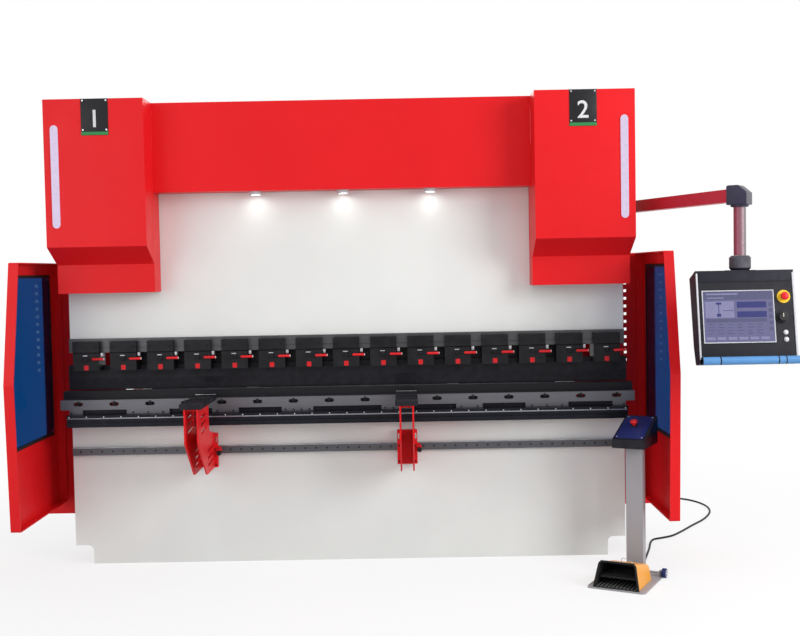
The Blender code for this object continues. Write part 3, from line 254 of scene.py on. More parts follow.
redPaint = paint("redPaint", (0.74, 0.011, 0.015), gloss=0.15)
darkRedPaint = paint("tagRed", (0.62, 0.014, 0.018), 0.4)
offWhitePaint = paint("offWhitePaint", (0.79, 0.80, 0.775), 0.4, peel=0.16)
greyPaint = paint("greyPaint", (0.36, 0.35, 0.37), 0.45)
yellowPaint = paint("yellowPaint", (0.84, 0.36, 0.05))
# Dark red for the outermost table slots: a painted red reflection from the guards
slotPaintedRedReflection = paint("slotPaintedRedReflection", (0.24, 0.012, 0.022), 0.45)
brushedSteel = brushedMetal("brushedSteel", (0.13, 0.13, 0.145), 0.42)
tableSteel = brushedMetal("tableSteel", (0.135, 0.135, 0.15), 0.42)
brightSteel = brushedMetal("brightSteel", (0.62, 0.62, 0.64), 0.25, 1.0, 0.05, (260, 260, 3))
screwSteel = brushedMetal("screwSteel", (0.42, 0.42, 0.44), 0.35, contrast=0.08)
scaleSteel = brushedMetal("scaleSteel", (0.32, 0.32, 0.35), 0.4, 0.5, 0.1)
blackenedSteel = blackSteel("blackenedSteel", (0.013, 0.013, 0.017), 0.42)
railBlack = blackSteel("railBlack", (0.008, 0.009, 0.014), 0.34)
darkPlastic = plastic("darkPlastic", (0.016, 0.0165, 0.024), 0.5, 0.05, 0.12)
blackPlastic = plastic("blackPlastic", (0.012, 0.012, 0.014), 0.4)
bluePlastic = plastic("bluePlastic", (0.10, 0.27, 0.55), 0.4, 0.1)
silverPlastic = plastic("silverPlastic", (0.55, 0.55, 0.58), 0.35, 0.1)
whitePlastic = plastic("whitePlastic", (0.66, 0.65, 0.65), 0.35, 0.1)
redPlastic = plastic("redPlastic", (0.70, 0.02, 0.025), 0.3, 0.08)
yellowPlastic = plastic("yellowPlastic", (0.85, 0.55, 0.03), 0.35, 0.1)
greenPlastic = plastic("greenPlastic", (0.03, 0.22, 0.07), 0.4, 0.1)
navyPlastic = plastic("navyPlastic", (0.012, 0.020, 0.115), 0.4)
panelGrey = plastic("panelGrey", (0.022, 0.022, 0.027), 0.55, 0.05, 0.1)
elbowPlastic = plastic("elbowPlastic", (0.040, 0.036, 0.066), 0.5)
elbowPaintedLitSide = plastic("elbowPaintedLitSide", (0.115, 0.115, 0.13), 0.5)
# Lighter grey for the pendant elbow's right side: painted light on its lit side
tyreBlue = plastic("tyreBlue", (0.016, 0.030, 0.12), 0.5)
hoodInside = plastic("hoodInside", (0.030, 0.031, 0.030), 0.6)
treadGrey = plastic("treadGrey", (0.13, 0.14, 0.13), 0.6)
rubber = plastic("rubber", (0.012, 0.012, 0.013), 0.6, 0.3)
windowBlue = tintedGlass("windowBlue", (0.003, 0.052, 0.19))
lampWhite = glow("lampWhite", (0.72, 0.60, 0.82), 0.86, (0.08, 0.08, 0.09))
spotWhite = glow("spotWhite", (0.93, 1.0, 0.98), 22.0, (0.8, 0.8, 0.8))
screenLavender = glow("screenLavender", (0.29, 0.27, 0.52), 0.52)
screenBlue = glow("screenBlue", (0.06, 0.07, 0.31), 0.55)
screenPale = glow("screenPale", (0.46, 0.44, 0.74), 0.55)
screenGrey = glow("screenGrey", (0.20, 0.20, 0.38), 0.5)
# The arm runs from grey to red and the drop tube from red to grey: painted reflection of the red covers
armSteelPaintedReflection = steelWithPaintedReflection("armSteelPaintedReflection", (0.19, 0.18, 0.16), (0.53, 0.05, 0.08), 1.60, 1.74)
dropSteelPaintedReflection = steelWithPaintedReflection("dropSteelPaintedReflection", (0.29, 0.065, 0.105), (0.20, 0.175, 0.19), 1.952, 1.990)
guideFinish = twoFinishesOrPaintedHighlight("guideFinish", (0.10, 0.10, 0.11), (0.34, 0.34, 0.36), (("Z", 0.6585, True),),
                          (0.42, 0.35), (0.7, 0.8))
clampFinish = twoFinishesOrPaintedHighlight("clampFinish", (0.085, 0.085, 0.09), (0.012, 0.012, 0.014),
                          (("Y", -0.0652, False), ("Z", 1.1948, False)))
# The die's band above Z 0.9745 is a lighter grey: a painted highlight along its top edge
dieWithPaintedHighlight = twoFinishesOrPaintedHighlight("dieWithPaintedHighlight", (0.012, 0.012, 0.015), (0.020, 0.020, 0.024), (("Z", 0.9745, True),),
                        (0.42, 0.8), (0.2, 0.0))
housingFinish = twoFinishesOrPaintedHighlight("housingFinish", (0.016, 0.0165, 0.024), (0.070, 0.066, 0.080),
                            (("Z", 1.606, True),), (0.5, 0.55), (0.0, 0.0))
print("materials made")

slotFinishes = {
    "off_white_paint": offWhitePaint, "red_paint": redPaint, "black_steel": blackenedSteel,
    "brushed_steel": brushedSteel, "bright_steel": brightSteel, "grey_paint": greyPaint,
    "dark_plastic": darkPlastic, "blue_plastic": bluePlastic, "blue_glass": windowBlue,
    "yellow_paint": yellowPaint, "lamp_diffuser": lampWhite, "rubber": rubber,
}
nodeFinishes = {
    "front_rail": railBlack, "die_table": tableSteel, "clamp_bar": clampFinish, "lower_die": dieWithPaintedHighlight,
    "guide_rail": guideFinish, "pendant_arm": armSteelPaintedReflection, "pendant_housing": housingFinish,
}
for entry in frame["record"]["subparts"]:
    held = nodes[entry["node"]].data.materials
    held.clear()
    held.append(nodeFinishes.get(entry["node"], slotFinishes[entry["material_slot"]]))
print("frame pieces finished")


# Mesh helpers: each adds one closed shape to a mesh in the making

def dress(bm, faces, soft, shade):
    for face in faces:
        face.material_index = shade
    if soft:
        edges = dict.fromkeys(edge for face in faces for edge in face.edges)
        bmesh.ops.bevel(bm, geom=list(edges), offset=soft, segments=2, profile=0.5, affect="EDGES",
                        clamp_overlap=True)


def addSlab(bm, outline, low, high, along="Y", soft=0.0, shade=0, place=None):
    def spot(point, level):
        a, b = point
        where = {"X": (level, a, b), "Y": (a, level, b), "Z": (a, b, level)}[along]
        return place @ Vector(where) if place else Vector(where)
    lower = [bm.verts.new(spot(point, low)) for point in outline]
    upper = [bm.verts.new(spot(point, high)) for point in outline]
    faces = [bm.faces.new(lower[::-1]), bm.faces.new(upper)]
    count = len(outline)
    faces += [bm.faces.new((lower[i], lower[(i + 1) % count], upper[(i + 1) % count], upper[i]))
              for i in range(count)]
    dress(bm, faces, soft, shade)


def addBox(bm, low, high, soft=0.0, shade=0, place=None):
    outline = [(low[0], low[2]), (high[0], low[2]), (high[0], high[2]), (low[0], high[2])]
    addSlab(bm, outline, low[1], high[1], "Y", soft, shade, place)


def addFrame(bm, outer, inner, low, high, along="X", place=None):
    count = len(outer)
    for i in range(count):
        j = (i + 1) % count
        addSlab(bm, [outer[i], outer[j], inner[j], inner[i]], low, high, along, 0, 0, place)


def roundedCorners(low, high, radius, steps=4):
    (x0, y0), (x1, y1), outline = low, high, []
    for x, y, start in ((x1, y1, 0), (x0, y1, 90), (x0, y0, 180), (x1, y0, 270)):
        centre = (x - math.copysign(radius, x - x0 - 1e-9), y - math.copysign(radius, y - y0 - 1e-9))
        for i in range(steps + 1):
            angle = math.radians(start + 90 * i / steps)
            outline.append((centre[0] + radius * math.cos(angle), centre[1] + radius * math.sin(angle)))
    return outline


# A plate with rounded corners around a middle
def addPad(bm, middle, half, corner, low, high, along="Y", soft=0.0, shade=0, place=None, steps=4):
    a, b = middle
    outline = roundedCorners((a - half[0], b - half[1]), (a + half[0], b + half[1]), corner, steps)
    addSlab(bm, outline, low, high, along, soft, shade, place)


def addTurned(bm, profile, place, steps=24, shade=0):
    rings = []
    for radius, along in profile:
        turns = steps if radius > 1e-6 else 1
        rings.append([bm.verts.new(place @ Vector((radius * math.cos(2 * math.pi * i / turns),
                                                   radius * math.sin(2 * math.pi * i / turns), along)))
                      for i in range(turns)])
    for below, above in zip(rings, rings[1:]):
        for i in range(steps):
            around = ((below, i), (below, i + 1), (above, i + 1), (above, i))
            corners = dict.fromkeys(ring[k % len(ring)] for ring, k in around)
            bm.faces.new(list(corners)).material_index = shade


def addRod(bm, radius, low, high, place, steps=24, shade=0):
    addTurned(bm, [(0, low), (radius, low), (radius, high), (0, high)], place, steps, shade)


def addTube(bm, points, radius, steps=12, shade=0):
    rings, side = [], None
    for i, point in enumerate(points):
        heading = (points[min(i + 1, len(points) - 1)] - points[max(i - 1, 0)]).normalized()
        side = side or heading.orthogonal()
        side = (side - heading * side.dot(heading)).normalized()
        other = heading.cross(side)
        rings.append([bm.verts.new(point + radius * (math.cos(2 * math.pi * k / steps) * side
                                                     + math.sin(2 * math.pi * k / steps) * other))
                      for k in range(steps)])
    faces = [bm.faces.new(rings[0][::-1]), bm.faces.new(rings[-1])]
    for below, above in zip(rings, rings[1:]):
        faces += [bm.faces.new((below[k], below[(k + 1) % steps], above[(k + 1) % steps], above[k]))
                  for k in range(steps)]
    dress(bm, faces, 0, shade)


def facing(point, direction):
    turn = Vector(up).rotation_difference(Vector(direction))
    return Matrix.Translation(point) @ turn.to_matrix().to_4x4()


def smoothRoute(points, steps):
    points = [Vector(p) for p in points]
    fine = []
    for i in range(len(points) - 1):
        a, b, c, d = (points[max(0, min(len(points) - 1, i + k))] for k in (-1, 0, 1, 2))
        for step in range(steps):
            t = step / steps
            fine.append(0.5 * (2 * b + (c - a) * t + (2 * a - 5 * b + 4 * c - d) * t * t
                               + (3 * b - a - 3 * c + d) * t ** 3))
    return fine + [points[-1]]


def across(first, last, count):
    return [first + (last - first) * (i / (count - 1) if count > 1 else 0.5) for i in range(count)]


def row(start, end, pitch):
    return [start + i * pitch for i in range(int((end - start) / pitch) + 1)]


def outerFace(side, node):
    low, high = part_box(node)
    return low.x if side < 0 else high.x


def meshOf(name, bm):
    bmesh.ops.recalc_face_normals(bm, faces=bm.faces[:])
    mesh = bpy.data.meshes.new(name)
    bm.to_mesh(mesh)
    bm.free()
    return mesh


def keepPiece(name, mesh, body, replaced=()):
    mesh.name = name
    mesh.shade_smooth()
    mesh.set_sharp_from_angle(angle=math.radians(32))
    piece = bpy.data.objects.new(name, mesh)
    scene.collection.objects.link(piece)
    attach(piece, body)
    if replaced:
        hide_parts(*replaced)


def newPiece(name, bm, shades, body="machine", replaced=()):
    mesh = meshOf(name, bm)
    for shade in shades if isinstance(shades, tuple) else (shades,):
        mesh.materials.append(shade)
    keepPiece(name, mesh, body, replaced)


# Geometry Nodes: one shape set on many points, each with its own turn

def scatterTree():
    tree = bpy.data.node_groups.new("setOnPoints", "GeometryNodeTree")
    for label, kind in (("Points", "Geometry"), ("Shape", "Object"), ("Size", "Float"), ("Finish", "Material")):
        tree.interface.new_socket(name=label, in_out="INPUT", socket_type="NodeSocket" + kind)
    tree.interface.new_socket(name="Result", in_out="OUTPUT", socket_type="NodeSocketGeometry")
    given = tree.nodes.new("NodeGroupInput").outputs
    shape = addNode(tree, "GeometryNodeObjectInfo", Object=given["Shape"])
    turn = tree.nodes.new("GeometryNodeInputNamedAttribute")
    turn.data_type = "FLOAT_VECTOR"
    feed(tree, turn, Name="turn")
    setOn = addNode(tree, "GeometryNodeInstanceOnPoints", Points=given["Points"], Scale=given["Size"],
                    Instance=shape.outputs["Geometry"], Rotation=turn.outputs["Attribute"])
    real = addNode(tree, "GeometryNodeRealizeInstances", Geometry=setOn.outputs["Instances"])
    finish = addNode(tree, "GeometryNodeSetMaterial", Geometry=real.outputs["Geometry"],
                     Material=given["Finish"])
    addNode(tree, "NodeGroupOutput", Result=finish.outputs["Geometry"])
    return tree, {item.name: item.identifier for item in tree.interface.items_tree if item.in_out == "INPUT"}


setOnPoints, inputNames = scatterTree()


def shapeOf(build):
    bm = bmesh.new()
    build(bm)
    return bpy.data.objects.new("shape", meshOf("shape", bm))


# spots holds (point, direction) pairs; the shape's own Z is turned to the direction
def scatter(name, spots, shape, shade, body="machine", size=1.0):
    mesh = bpy.data.meshes.new("spots")
    mesh.from_pydata([tuple(point) for point, direction in spots], [], [])
    turns = mesh.attributes.new("turn", "FLOAT_VECTOR", "POINT")
    for value, (point, direction) in zip(turns.data, spots):
        value.vector = Vector(up).rotation_difference(Vector(direction)).to_euler()
    holder = bpy.data.objects.new("spots", mesh)
    for made in (holder, shape):
        scene.collection.objects.link(made)
    modifier = holder.modifiers.new("setOnPoints", "NODES")
    modifier.node_group = setOnPoints
    for label, value in (("Shape", shape), ("Size", size), ("Finish", shade)):
        modifier[inputNames[label]] = value
    bpy.context.view_layer.update()
    graph = bpy.context.evaluated_depsgraph_get()
    result = bpy.data.meshes.new_from_object(holder.evaluated_get(graph))
    for spare in (holder, shape):
        bpy.data.objects.remove(spare)
    keepPiece(name, result, body)


def socketScrew(radius, height):
    inner, deep = radius * 0.52, height * 0.55
    profile = [(0, 0), (radius, 0), (radius, height * 0.8), (radius * 0.88, height), (inner, height),
               (inner * 0.95, height - deep), (0, height - deep)]
    return shapeOf(lambda bm: addTurned(bm, profile, Matrix.Identity(4), 12))


def hexBolt(radius, height):
    profile = [(0, 0), (radius * 1.35, 0), (radius * 1.35, height * 0.18), (radius, height * 0.2),
               (radius, height * 0.92), (radius * 0.9, height), (0, height)]
    return shapeOf(lambda bm: addTurned(bm, profile, Matrix.Identity(4), 6))


# Foot switch cable, the same route as the part's source

cableSettings = {
    "diameter": 0.012,
    "floorGap": 0.0005,
    "steps": 5,
    "gland": ((1.54761, -0.38689, 0.034), (1.56709, -0.35025, 0.034)),
    "frameFace": 1.32,
    "loop": ((0.266, -0.300, 0.021), (0.296, -0.217, 0), (0.338, -0.090, 0), (0.385, 0.060, 0),
             (0.420, 0.185, 0), (0.456, 0.262, 0), (0.515, 0.298, 0), (0.585, 0.345, 0), (0.665, 0.445, 0),
             (0.765, 0.590, 0), (0.895, 0.775, 0), (0.985, 0.975, 0), (1.005, 1.165, 0), (0.950, 1.330, 0),
             (0.830, 1.430, 0), (0.680, 1.440, 0), (0.525, 1.350, 0), (0.392, 1.205, 0), (0.285, 1.050, 0),
             (0.225, 0.945, 0.014), (0.204, 0.890, 0.062), (0.200, 0.872, 0.130), (0.200, 0.870, 0.215)),
    "end": (1.520, 0.870, 0.2997),
    "reliefLength": 0.036,
}


def makeCable(diameter, floorGap, steps, gland, frameFace, loop, end, reliefLength):
    radius = diameter / 2
    lowest = radius + floorGap
    points = smoothRoute([*gland, *((frameFace + out, y, max(z, lowest)) for out, y, z in loop), end], steps)
    for point in points:
        point.z = max(point.z, lowest)
    curve = bpy.data.curves.new("footSwitchCable", "CURVE")
    curve.dimensions = "3D"
    line = curve.splines.new("POLY")
    line.points.add(len(points) - 1)
    for point, where in zip(line.points, points):
        point.co = (*where, 1)
    curve.bevel_depth = radius
    curve.bevel_resolution = 3
    curve.use_fill_caps = True
    curve.materials.append(rubber)
    cable = bpy.data.objects.new("footSwitchCable", curve)
    scene.collection.objects.link(cable)
    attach(cable, "machine")
    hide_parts("foot_switch_cable")
    relief = [(0, 0), (0.0105, 0), (0.0105, 0.006), (0.0088, 0.008), (0.0086, 0.014), (0.0078, 0.016),
              (0.0082, 0.022), (0.0074, 0.024), (0.0068, reliefLength), (0, reliefLength)]
    bm = bmesh.new()
    for place in (facing(points[0], points[1] - points[0]), facing(points[-1], down)):
        addTurned(bm, relief, place, 20)
    newPiece("cableStrainReliefs", bm, blackPlastic)


makeCable(**cableSettings)
print("cable laid")


# Clamp row on the ram; tag and badge: width, height, shift, middle, corner and how far they stand out

clampSettings = {
    "count": 15, "pitch": 0.2064, "width": 0.1454,
    "plateFace": -0.105, "plateMiddle": 1.229, "screwIn": 0.016, "lowerFace": -0.099,
    "tag": (0.025, 0.027, 0, 1.114, 0.004, 0.0015),
    "badge": (0.026, 0.005, -0.004, 1.1800, 0.002, 0.0008),
    "block": (0.015, 0.030, 0.0215), "blockGap": 0.004, "blockFront": -0.088, "barUnder": 1.1945,
}


def makeClampRow(count, pitch, width, plateFace, plateMiddle, screwIn, lowerFace, tag, badge, block, blockGap,
                 blockFront, barUnder):
    centres = [(i - (count - 1) / 2) * pitch for i in range(count)]
    tags, blocks, badges = bmesh.new(), bmesh.new(), bmesh.new()
    for x in centres:
        for bm, (wide, high, shift, middle, corner, proud) in ((tags, tag), (badges, badge)):
            addPad(bm, (x + shift, middle), (wide / 2, high / 2), corner, lowerFace - proud, lowerFace)
    wide, deep, high = block
    for x in centres[:-1]:
        start = x + width / 2 + blockGap
        addBox(blocks, (start, blockFront, barUnder - high),
               (start + wide, blockFront + deep, barUnder), 0.0015)
    newPiece("clampTags", tags, darkRedPaint, "ram")
    newPiece("clampBadges", badges, screwSteel, "ram")
    newPiece("clampStopBlocks", blocks, screwSteel, "ram")
    shift = width / 2 - screwIn
    spots = [((x + side * shift, plateFace, plateMiddle), front) for x in centres for side in (-1, 1)]
    scatter("clampScrews", spots, socketScrew(0.0065, 0.004), blackenedSteel, "ram")
    return centres


clampCentres = makeClampRow(**clampSettings)

leverSettings = {
    "pivotHeight": 1.162, "face": -0.0993, "boss": 0.010, "bossDepth": 0.022,
    "rod": 0.0035, "gripStart": 0.036, "gripEnd": 0.105, "grip": 0.0075, "rodLevel": -0.1103,
}


def makeLevers(pivotHeight, face, boss, bossDepth, rod, gripStart, gripEnd, grip, rodLevel):
    inBoss, rim = boss * 0.8, bossDepth - 0.003
    start, end = gripStart - inBoss, gripEnd - inBoss
    cap = end - 0.004
    for number, x in enumerate(clampCentres, 1):
        bm = bmesh.new()
        addTurned(bm, [(0, 0), (boss, 0), (boss, rim), (boss - 0.003, bossDepth), (0.0045, bossDepth),
                       (0.004, rim), (0, rim)], facing((x, face, pivotHeight), front))
        root = facing((x + inBoss, rodLevel, pivotHeight), right)
        addRod(bm, rod, 0, start + 0.001, root, 14)
        addTurned(bm, [(0, start), (grip * 0.7, start), (grip, start + 0.006),
                       (grip * 0.92, (start + end) / 2), (grip, end - 0.007), (grip, cap), (0, cap)], root, 18, 1)
        addTurned(bm, [(0, cap), (grip * 0.9, cap), (grip * 0.86, end - 0.001), (grip * 0.5, end), (0, end)],
                  root, 18, 2)
        body = f"clamp_lever_{number:02d}"
        newPiece(f"clampLever{number:02d}", bm, (blackenedSteel, redPlastic, silverPlastic),
                 body, (body,))


makeLevers(**leverSettings)
print("clamps and levers made")


# Die table: bolts in its slots and screws along its apron's tabs (start, end, count)

tableSettings = {
    "slotCount": 16, "slotPitch": 0.2, "slotHeight": 0.908, "slotBack": -0.0553, "slotHalf": (0.0268, 0.0098),
    "paintedRedBeyond": 1.25, "apronFace": -0.085, "apronScrewHeight": 0.8605, "keyhole": (0.0075, 0.0105),
    "tabs": ((0.190, 0.366, 4), (0.606, 0.754, 2), (0.992, 1.2305, 3), (1.477, 1.600, 1)),
}


def makeTableFittings(slotCount, slotPitch, slotHeight, slotBack, slotHalf, paintedRedBeyond, apronFace,
                      apronScrewHeight, keyhole, tabs):
    slots = [(i - (slotCount - 1) / 2) * slotPitch for i in range(slotCount)]
    profile = [(0, 0), (0.0085, 0), (0.0085, 0.012), (0.0075, 0.013), (0.0045, 0.013), (0.004, 0.008),
               (0, 0.008)]
    bolt = shapeOf(lambda bm: addTurned(bm, profile, Matrix.Identity(4), 18))
    scatter("tableSlotBolts", [((x, slotBack, slotHeight), front) for x in slots], bolt, blackenedSteel)
    wide, rise = keyhole
    # A sheet at the back of each slot stands for the shade inside it: painted shade in black, and in the
    # outermost slots dark red for a painted red reflection from the guards
    shadeSheets, holeShade = bmesh.new(), bmesh.new()
    for x in slots:
        addPad(shadeSheets, (x, slotHeight), slotHalf, 0.0095, slotBack - 0.001, slotBack + 0.0001,
               shade=int(abs(x) > paintedRedBeyond), steps=5)
        # Black discs on the apron in place of the keyholes: painted shade of the holes
        addTurned(holeShade, [(0, 0), (wide, 0), (wide, 0.0008), (wide - 0.0004, 0.001), (0, 0.001)],
                  facing((x, apronFace + 0.0002, slotHeight + rise), front), 20)
    newPiece("tableSlotLiners", shadeSheets, (blackPlastic, slotPaintedRedReflection))
    newPiece("tableKeyholes", holeShade, blackPlastic)
    spots = []
    for low, high, count in tabs:
        edge = (high - low) / (count + 1) * 0.6
        spots += [((side * x, apronFace, apronScrewHeight), front)
                  for x in across(low + edge, high - edge, count) for side in (-1, 1)]
    scatter("apronScrews", spots, socketScrew(0.0048, 0.003), blackenedSteel)


makeTableFittings(**tableSettings)


# Front rail with its scale, and the guide rail's screws

railSettings = {
    "face": -0.1453, "scaleLow": 0.8330, "scaleHigh": 0.8385, "grooveHighlight": 0.8035, "half": 1.545,
    "dotPitch": 0.096, "tickPitch": 0.012, "guideFace": -0.0653, "guideHeight": 0.6395, "holePitch": 0.06,
    "guide": (-1.50, 1.48),
}


def makeRailFittings(face, scaleLow, scaleHigh, grooveHighlight, half, dotPitch, tickPitch, guideFace, guideHeight,
                     holePitch, guide):
    bm = bmesh.new()
    addBox(bm, (-half, face - 0.0008, scaleLow), (half, face, scaleHigh), 0.0003)
    # A lighter strip in place of the rail's groove: a painted highlight along it
    addBox(bm, (-half, face - 0.0005, grooveHighlight), (half, face, grooveHighlight + 0.0022), 0, 1)
    newPiece("railScale", bm, (scaleSteel, panelGrey))
    tick = shapeOf(lambda bm: addBox(bm, (-0.0006, -0.0018, 0), (0.0006, 0.0018, 0.0003)))
    places = row(-half + 0.01, half - 0.01, tickPitch)
    scatter("railScaleTicks", [((x, face - 0.0008, scaleLow + 0.0022), front) for x in places], tick,
            blackPlastic)
    steps = int(half / dotPitch)
    spots = [((i * dotPitch, face, scaleHigh + 0.0055), front) for i in range(-steps, steps + 1)]
    scatter("railScaleScrews", spots, socketScrew(0.0032, 0.0016), brightSteel)
    spots = [((x, guideFace, guideHeight), front) for x in row(*guide, holePitch)]
    scatter("guideRailScrews", spots, socketScrew(0.0055, 0.001), blackenedSteel)


makeRailFittings(**railSettings)
print("table and rails fitted")


# Cylinder covers: number plates and corner screws; lamps under the centre cover

plateSettings = {
    "x": 1.284, "width": 0.144, "height": 0.192, "thick": 0.003, "strip": 0.018, "numeral": 0.094,
}


def numeralMesh(character, height, place):
    words = bpy.data.curves.new("numeral", "FONT")
    words.body = character
    words.size = height * 1.37
    words.align_x, words.align_y = "CENTER", "CENTER"
    words.extrude = 0.0006
    words.offset = height * 0.012
    holder = bpy.data.objects.new("numeral", words)
    scene.collection.objects.link(holder)
    mesh = bpy.data.meshes.new_from_object(holder)
    bpy.data.objects.remove(holder)
    mesh.transform(place @ turned(90, "X"))
    mesh.materials.clear()
    mesh.materials.append(whitePlastic)
    return mesh


def makeNumberPlates(x, width, height, thick, strip, numeral):
    screws = []
    for (side, label), character in zip(sides, "12"):
        low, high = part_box(f"{label}_cylinder_cover")
        middle, half, bottom, face = side * x, width / 2, high.z - height, low.y - thick
        bm = bmesh.new()
        addBox(bm, (middle - half, face, bottom), (middle + half, low.y, high.z), 0.0012)
        addBox(bm, (middle - half + 0.001, face - 0.0006, bottom + 0.001),
               (middle + half - 0.001, face, bottom + strip), 0, 1)
        newPiece(f"numberPlate{character}", bm, (blackPlastic, greenPlastic))
        place = Matrix.Translation((middle, face - 0.0006, bottom + 0.082))
        keepPiece(f"numeral{character}", numeralMesh(character, numeral, place), "machine")
        screws += [((middle + sx * (half - 0.010), face, z), front)
                   for sx in (-1, 1) for z in (bottom + 0.028, high.z - 0.010)]
    scatter("numberPlateScrews", screws, socketScrew(0.0045, 0.002), brightSteel)


makeNumberPlates(**plateSettings)

lampSettings = {"places": (-0.48, 0.0, 0.48), "y": -0.112, "radius": 0.034, "height": 0.020}


def makeCentreLamps(places, y, radius, height):
    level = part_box("centre_cover")[0].z
    for number, x in enumerate(places, 1):
        place = facing((x, y, level), down)
        bm = bmesh.new()
        addTurned(bm, [(0, 0), (radius, 0), (radius, height * 0.6), (radius * 0.9, height),
                       (radius * 0.74, height), (radius * 0.70, height * 0.7), (0, height * 0.7)], place, 32)
        addTurned(bm, [(0, height * 0.71), (radius * 0.69, height * 0.71), (radius * 0.5, height * 0.86),
                       (0, height * 0.9)], place, 32, 1)
        newPiece(f"centreLamp{number}", bm, (silverPlastic, spotWhite))


makeCentreLamps(**lampSettings)

# Screws on the outer sides: rows of y and its heights, and the screw's radius and height
coverSettings = {
    "places": ((-0.30, (1.95, 2.25, 2.50)), (0.12, (1.62, 1.95, 2.25, 2.50))), "screw": (0.007, 0.004),
}


def sideSpots(nodeEnd, places):
    return [((outerFace(side, f"{label}_{nodeEnd}"), y, z), (side, 0, 0))
            for side, label in sides for y, heights in places for z in heights]


scatter("coverScrews", sideSpots("cylinder_cover", coverSettings["places"]),
        socketScrew(*coverSettings["screw"]), redPlastic)
print("covers dressed")


# Front supports: clamping knobs, small bolts and the rest's steel edge

supportSettings = {
    "centres": (-0.783, 0.33),
    "knob": (0.067, -0.112, 0.628), "knobRadius": 0.0135, "knobLength": 0.018,
    "flag": ((0.047, -0.112, 0.639), (0.082, -0.1, 0.651)),
    "saddleFace": -0.0956, "boltX": 0.046, "boltHeights": (0.560, 0.648),
    "restHalf": 0.057, "restBack": -0.105, "restTop": 0.955,
}


def makeSupports(centres, knob, knobRadius, knobLength, flag, saddleFace, boltX, boltHeights, restHalf,
                 restBack, restTop):
    for x, label in zip(centres, ("left", "right")):
        body, middle = f"{label}_support", Vector((x, 0, 0))
        bm = bmesh.new()
        addTurned(bm, [(0, -0.016), (0.005, -0.016), (0.005, 0), (knobRadius * 0.85, 0), (knobRadius, 0.003),
                       (knobRadius, knobLength - 0.003), (knobRadius * 0.85, knobLength), (0, knobLength)],
                  facing(middle + Vector(knob), front), 12)
        addBox(bm, middle + Vector(flag[0]), middle + Vector(flag[1]), 0.0012, 1)
        newPiece(f"{label}SupportKnob", bm, (blackPlastic, redPlastic), body)
        spots = [((x + shift, saddleFace, z), front) for shift in (-boltX, boltX) for z in boltHeights]
        scatter(f"{label}SupportBolts", spots, socketScrew(0.005, 0.0035), blackenedSteel, body)
        bm = bmesh.new()
        addBox(bm, (x - restHalf, restBack - 0.012, restTop - 0.0002),
               (x + restHalf, restBack - 0.001, restTop + 0.0015), 0.0005)
        newPiece(f"{label}RestEdge", bm, brightSteel, body)


makeSupports(**supportSettings)


# Side guards: window gaskets, corner screws and a pull handle (y, z, height)

guardSettings = {
    "skinInside": 1.724, "outer": 1.732,
    "window": ((0.165, 0.72), (0.165, 1.62), (-0.4265, 1.62), (-0.54, 1.07), (-0.54, 0.72)),
    "gasket": 0.014, "gasketThick": 0.0022,
    "screws": ((0.21, 1.66), (-0.38, 1.66), (0.21, 0.34), (-0.52, 0.34), (0.21, 1.0), (-0.55, 0.66)),
    "handle": (-0.02, 0.52, 0.16),
}


def grown(outline, width):
    points = [Vector(p) for p in outline]
    middle = sum(points, Vector((0, 0))) / len(points)
    result = []
    for i, point in enumerate(points):
        before, after = points[i - 1], points[(i + 1) % len(points)]
        a, b = (point - before).normalized(), (after - point).normalized()
        normals = [Vector((e.y, -e.x)) for e in (a, b)]
        normals = [n if n.dot(point - middle) > 0 else -n for n in normals]
        both = (normals[0] + normals[1]).normalized()
        result.append(tuple(point + both * width / max(0.3, both.dot(normals[0]))))
    return result


def makeGuards(skinInside, outer, window, gasket, gasketThick, screws, handle):
    for side, label in sides:
        body, face = f"{label}_guard", side * outer
        bm = bmesh.new()
        for level, sign in ((side * skinInside, -side), (face, side)):
            low, high = sorted((level, level + sign * gasketThick))
            addFrame(bm, grown(window, gasket), grown(window, -0.003), low, high)
        newPiece(f"{label}WindowGasket", bm, rubber, body)
        spots = [((face, y, z), (side, 0, 0)) for y, z in screws]
        scatter(f"{label}GuardScrews", spots, socketScrew(0.0055, 0.0035), screwSteel, body)
        y, z, high = handle
        reach = face + side * 0.016
        bow = smoothRoute([(face, y, z), (reach - side * 0.004, y, z + 0.004), (reach, y, z + 0.022),
                           (reach, y, z + high - 0.022), (reach - side * 0.004, y, z + high - 0.004),
                           (face, y, z + high)], 4)
        bm = bmesh.new()
        addTube(bm, bow, 0.0055)
        newPiece(f"{label}GuardHandle", bm, blackPlastic, body)


makeGuards(**guardSettings)
print("supports and guards dressed")


# Control pendant: panel, screen, buttons and handle trims, on the tilted front of its housing

pendantSettings = {"origin": (1.977, -0.785, 1.5927), "tilt": 10, "face": -0.055, "half": 0.2375}
pendantAxes = Matrix.Translation(pendantSettings["origin"]) @ turned(-pendantSettings["tilt"], "X")
panelFace, panelHalf = pendantSettings["face"], pendantSettings["half"]

panelSettings = {
    "height": 0.464, "band": (-0.012, -0.066), "strip": 0.010,
    "screen": (-0.212, 0.134, -0.364, -0.108), "border": 0.0042,
}


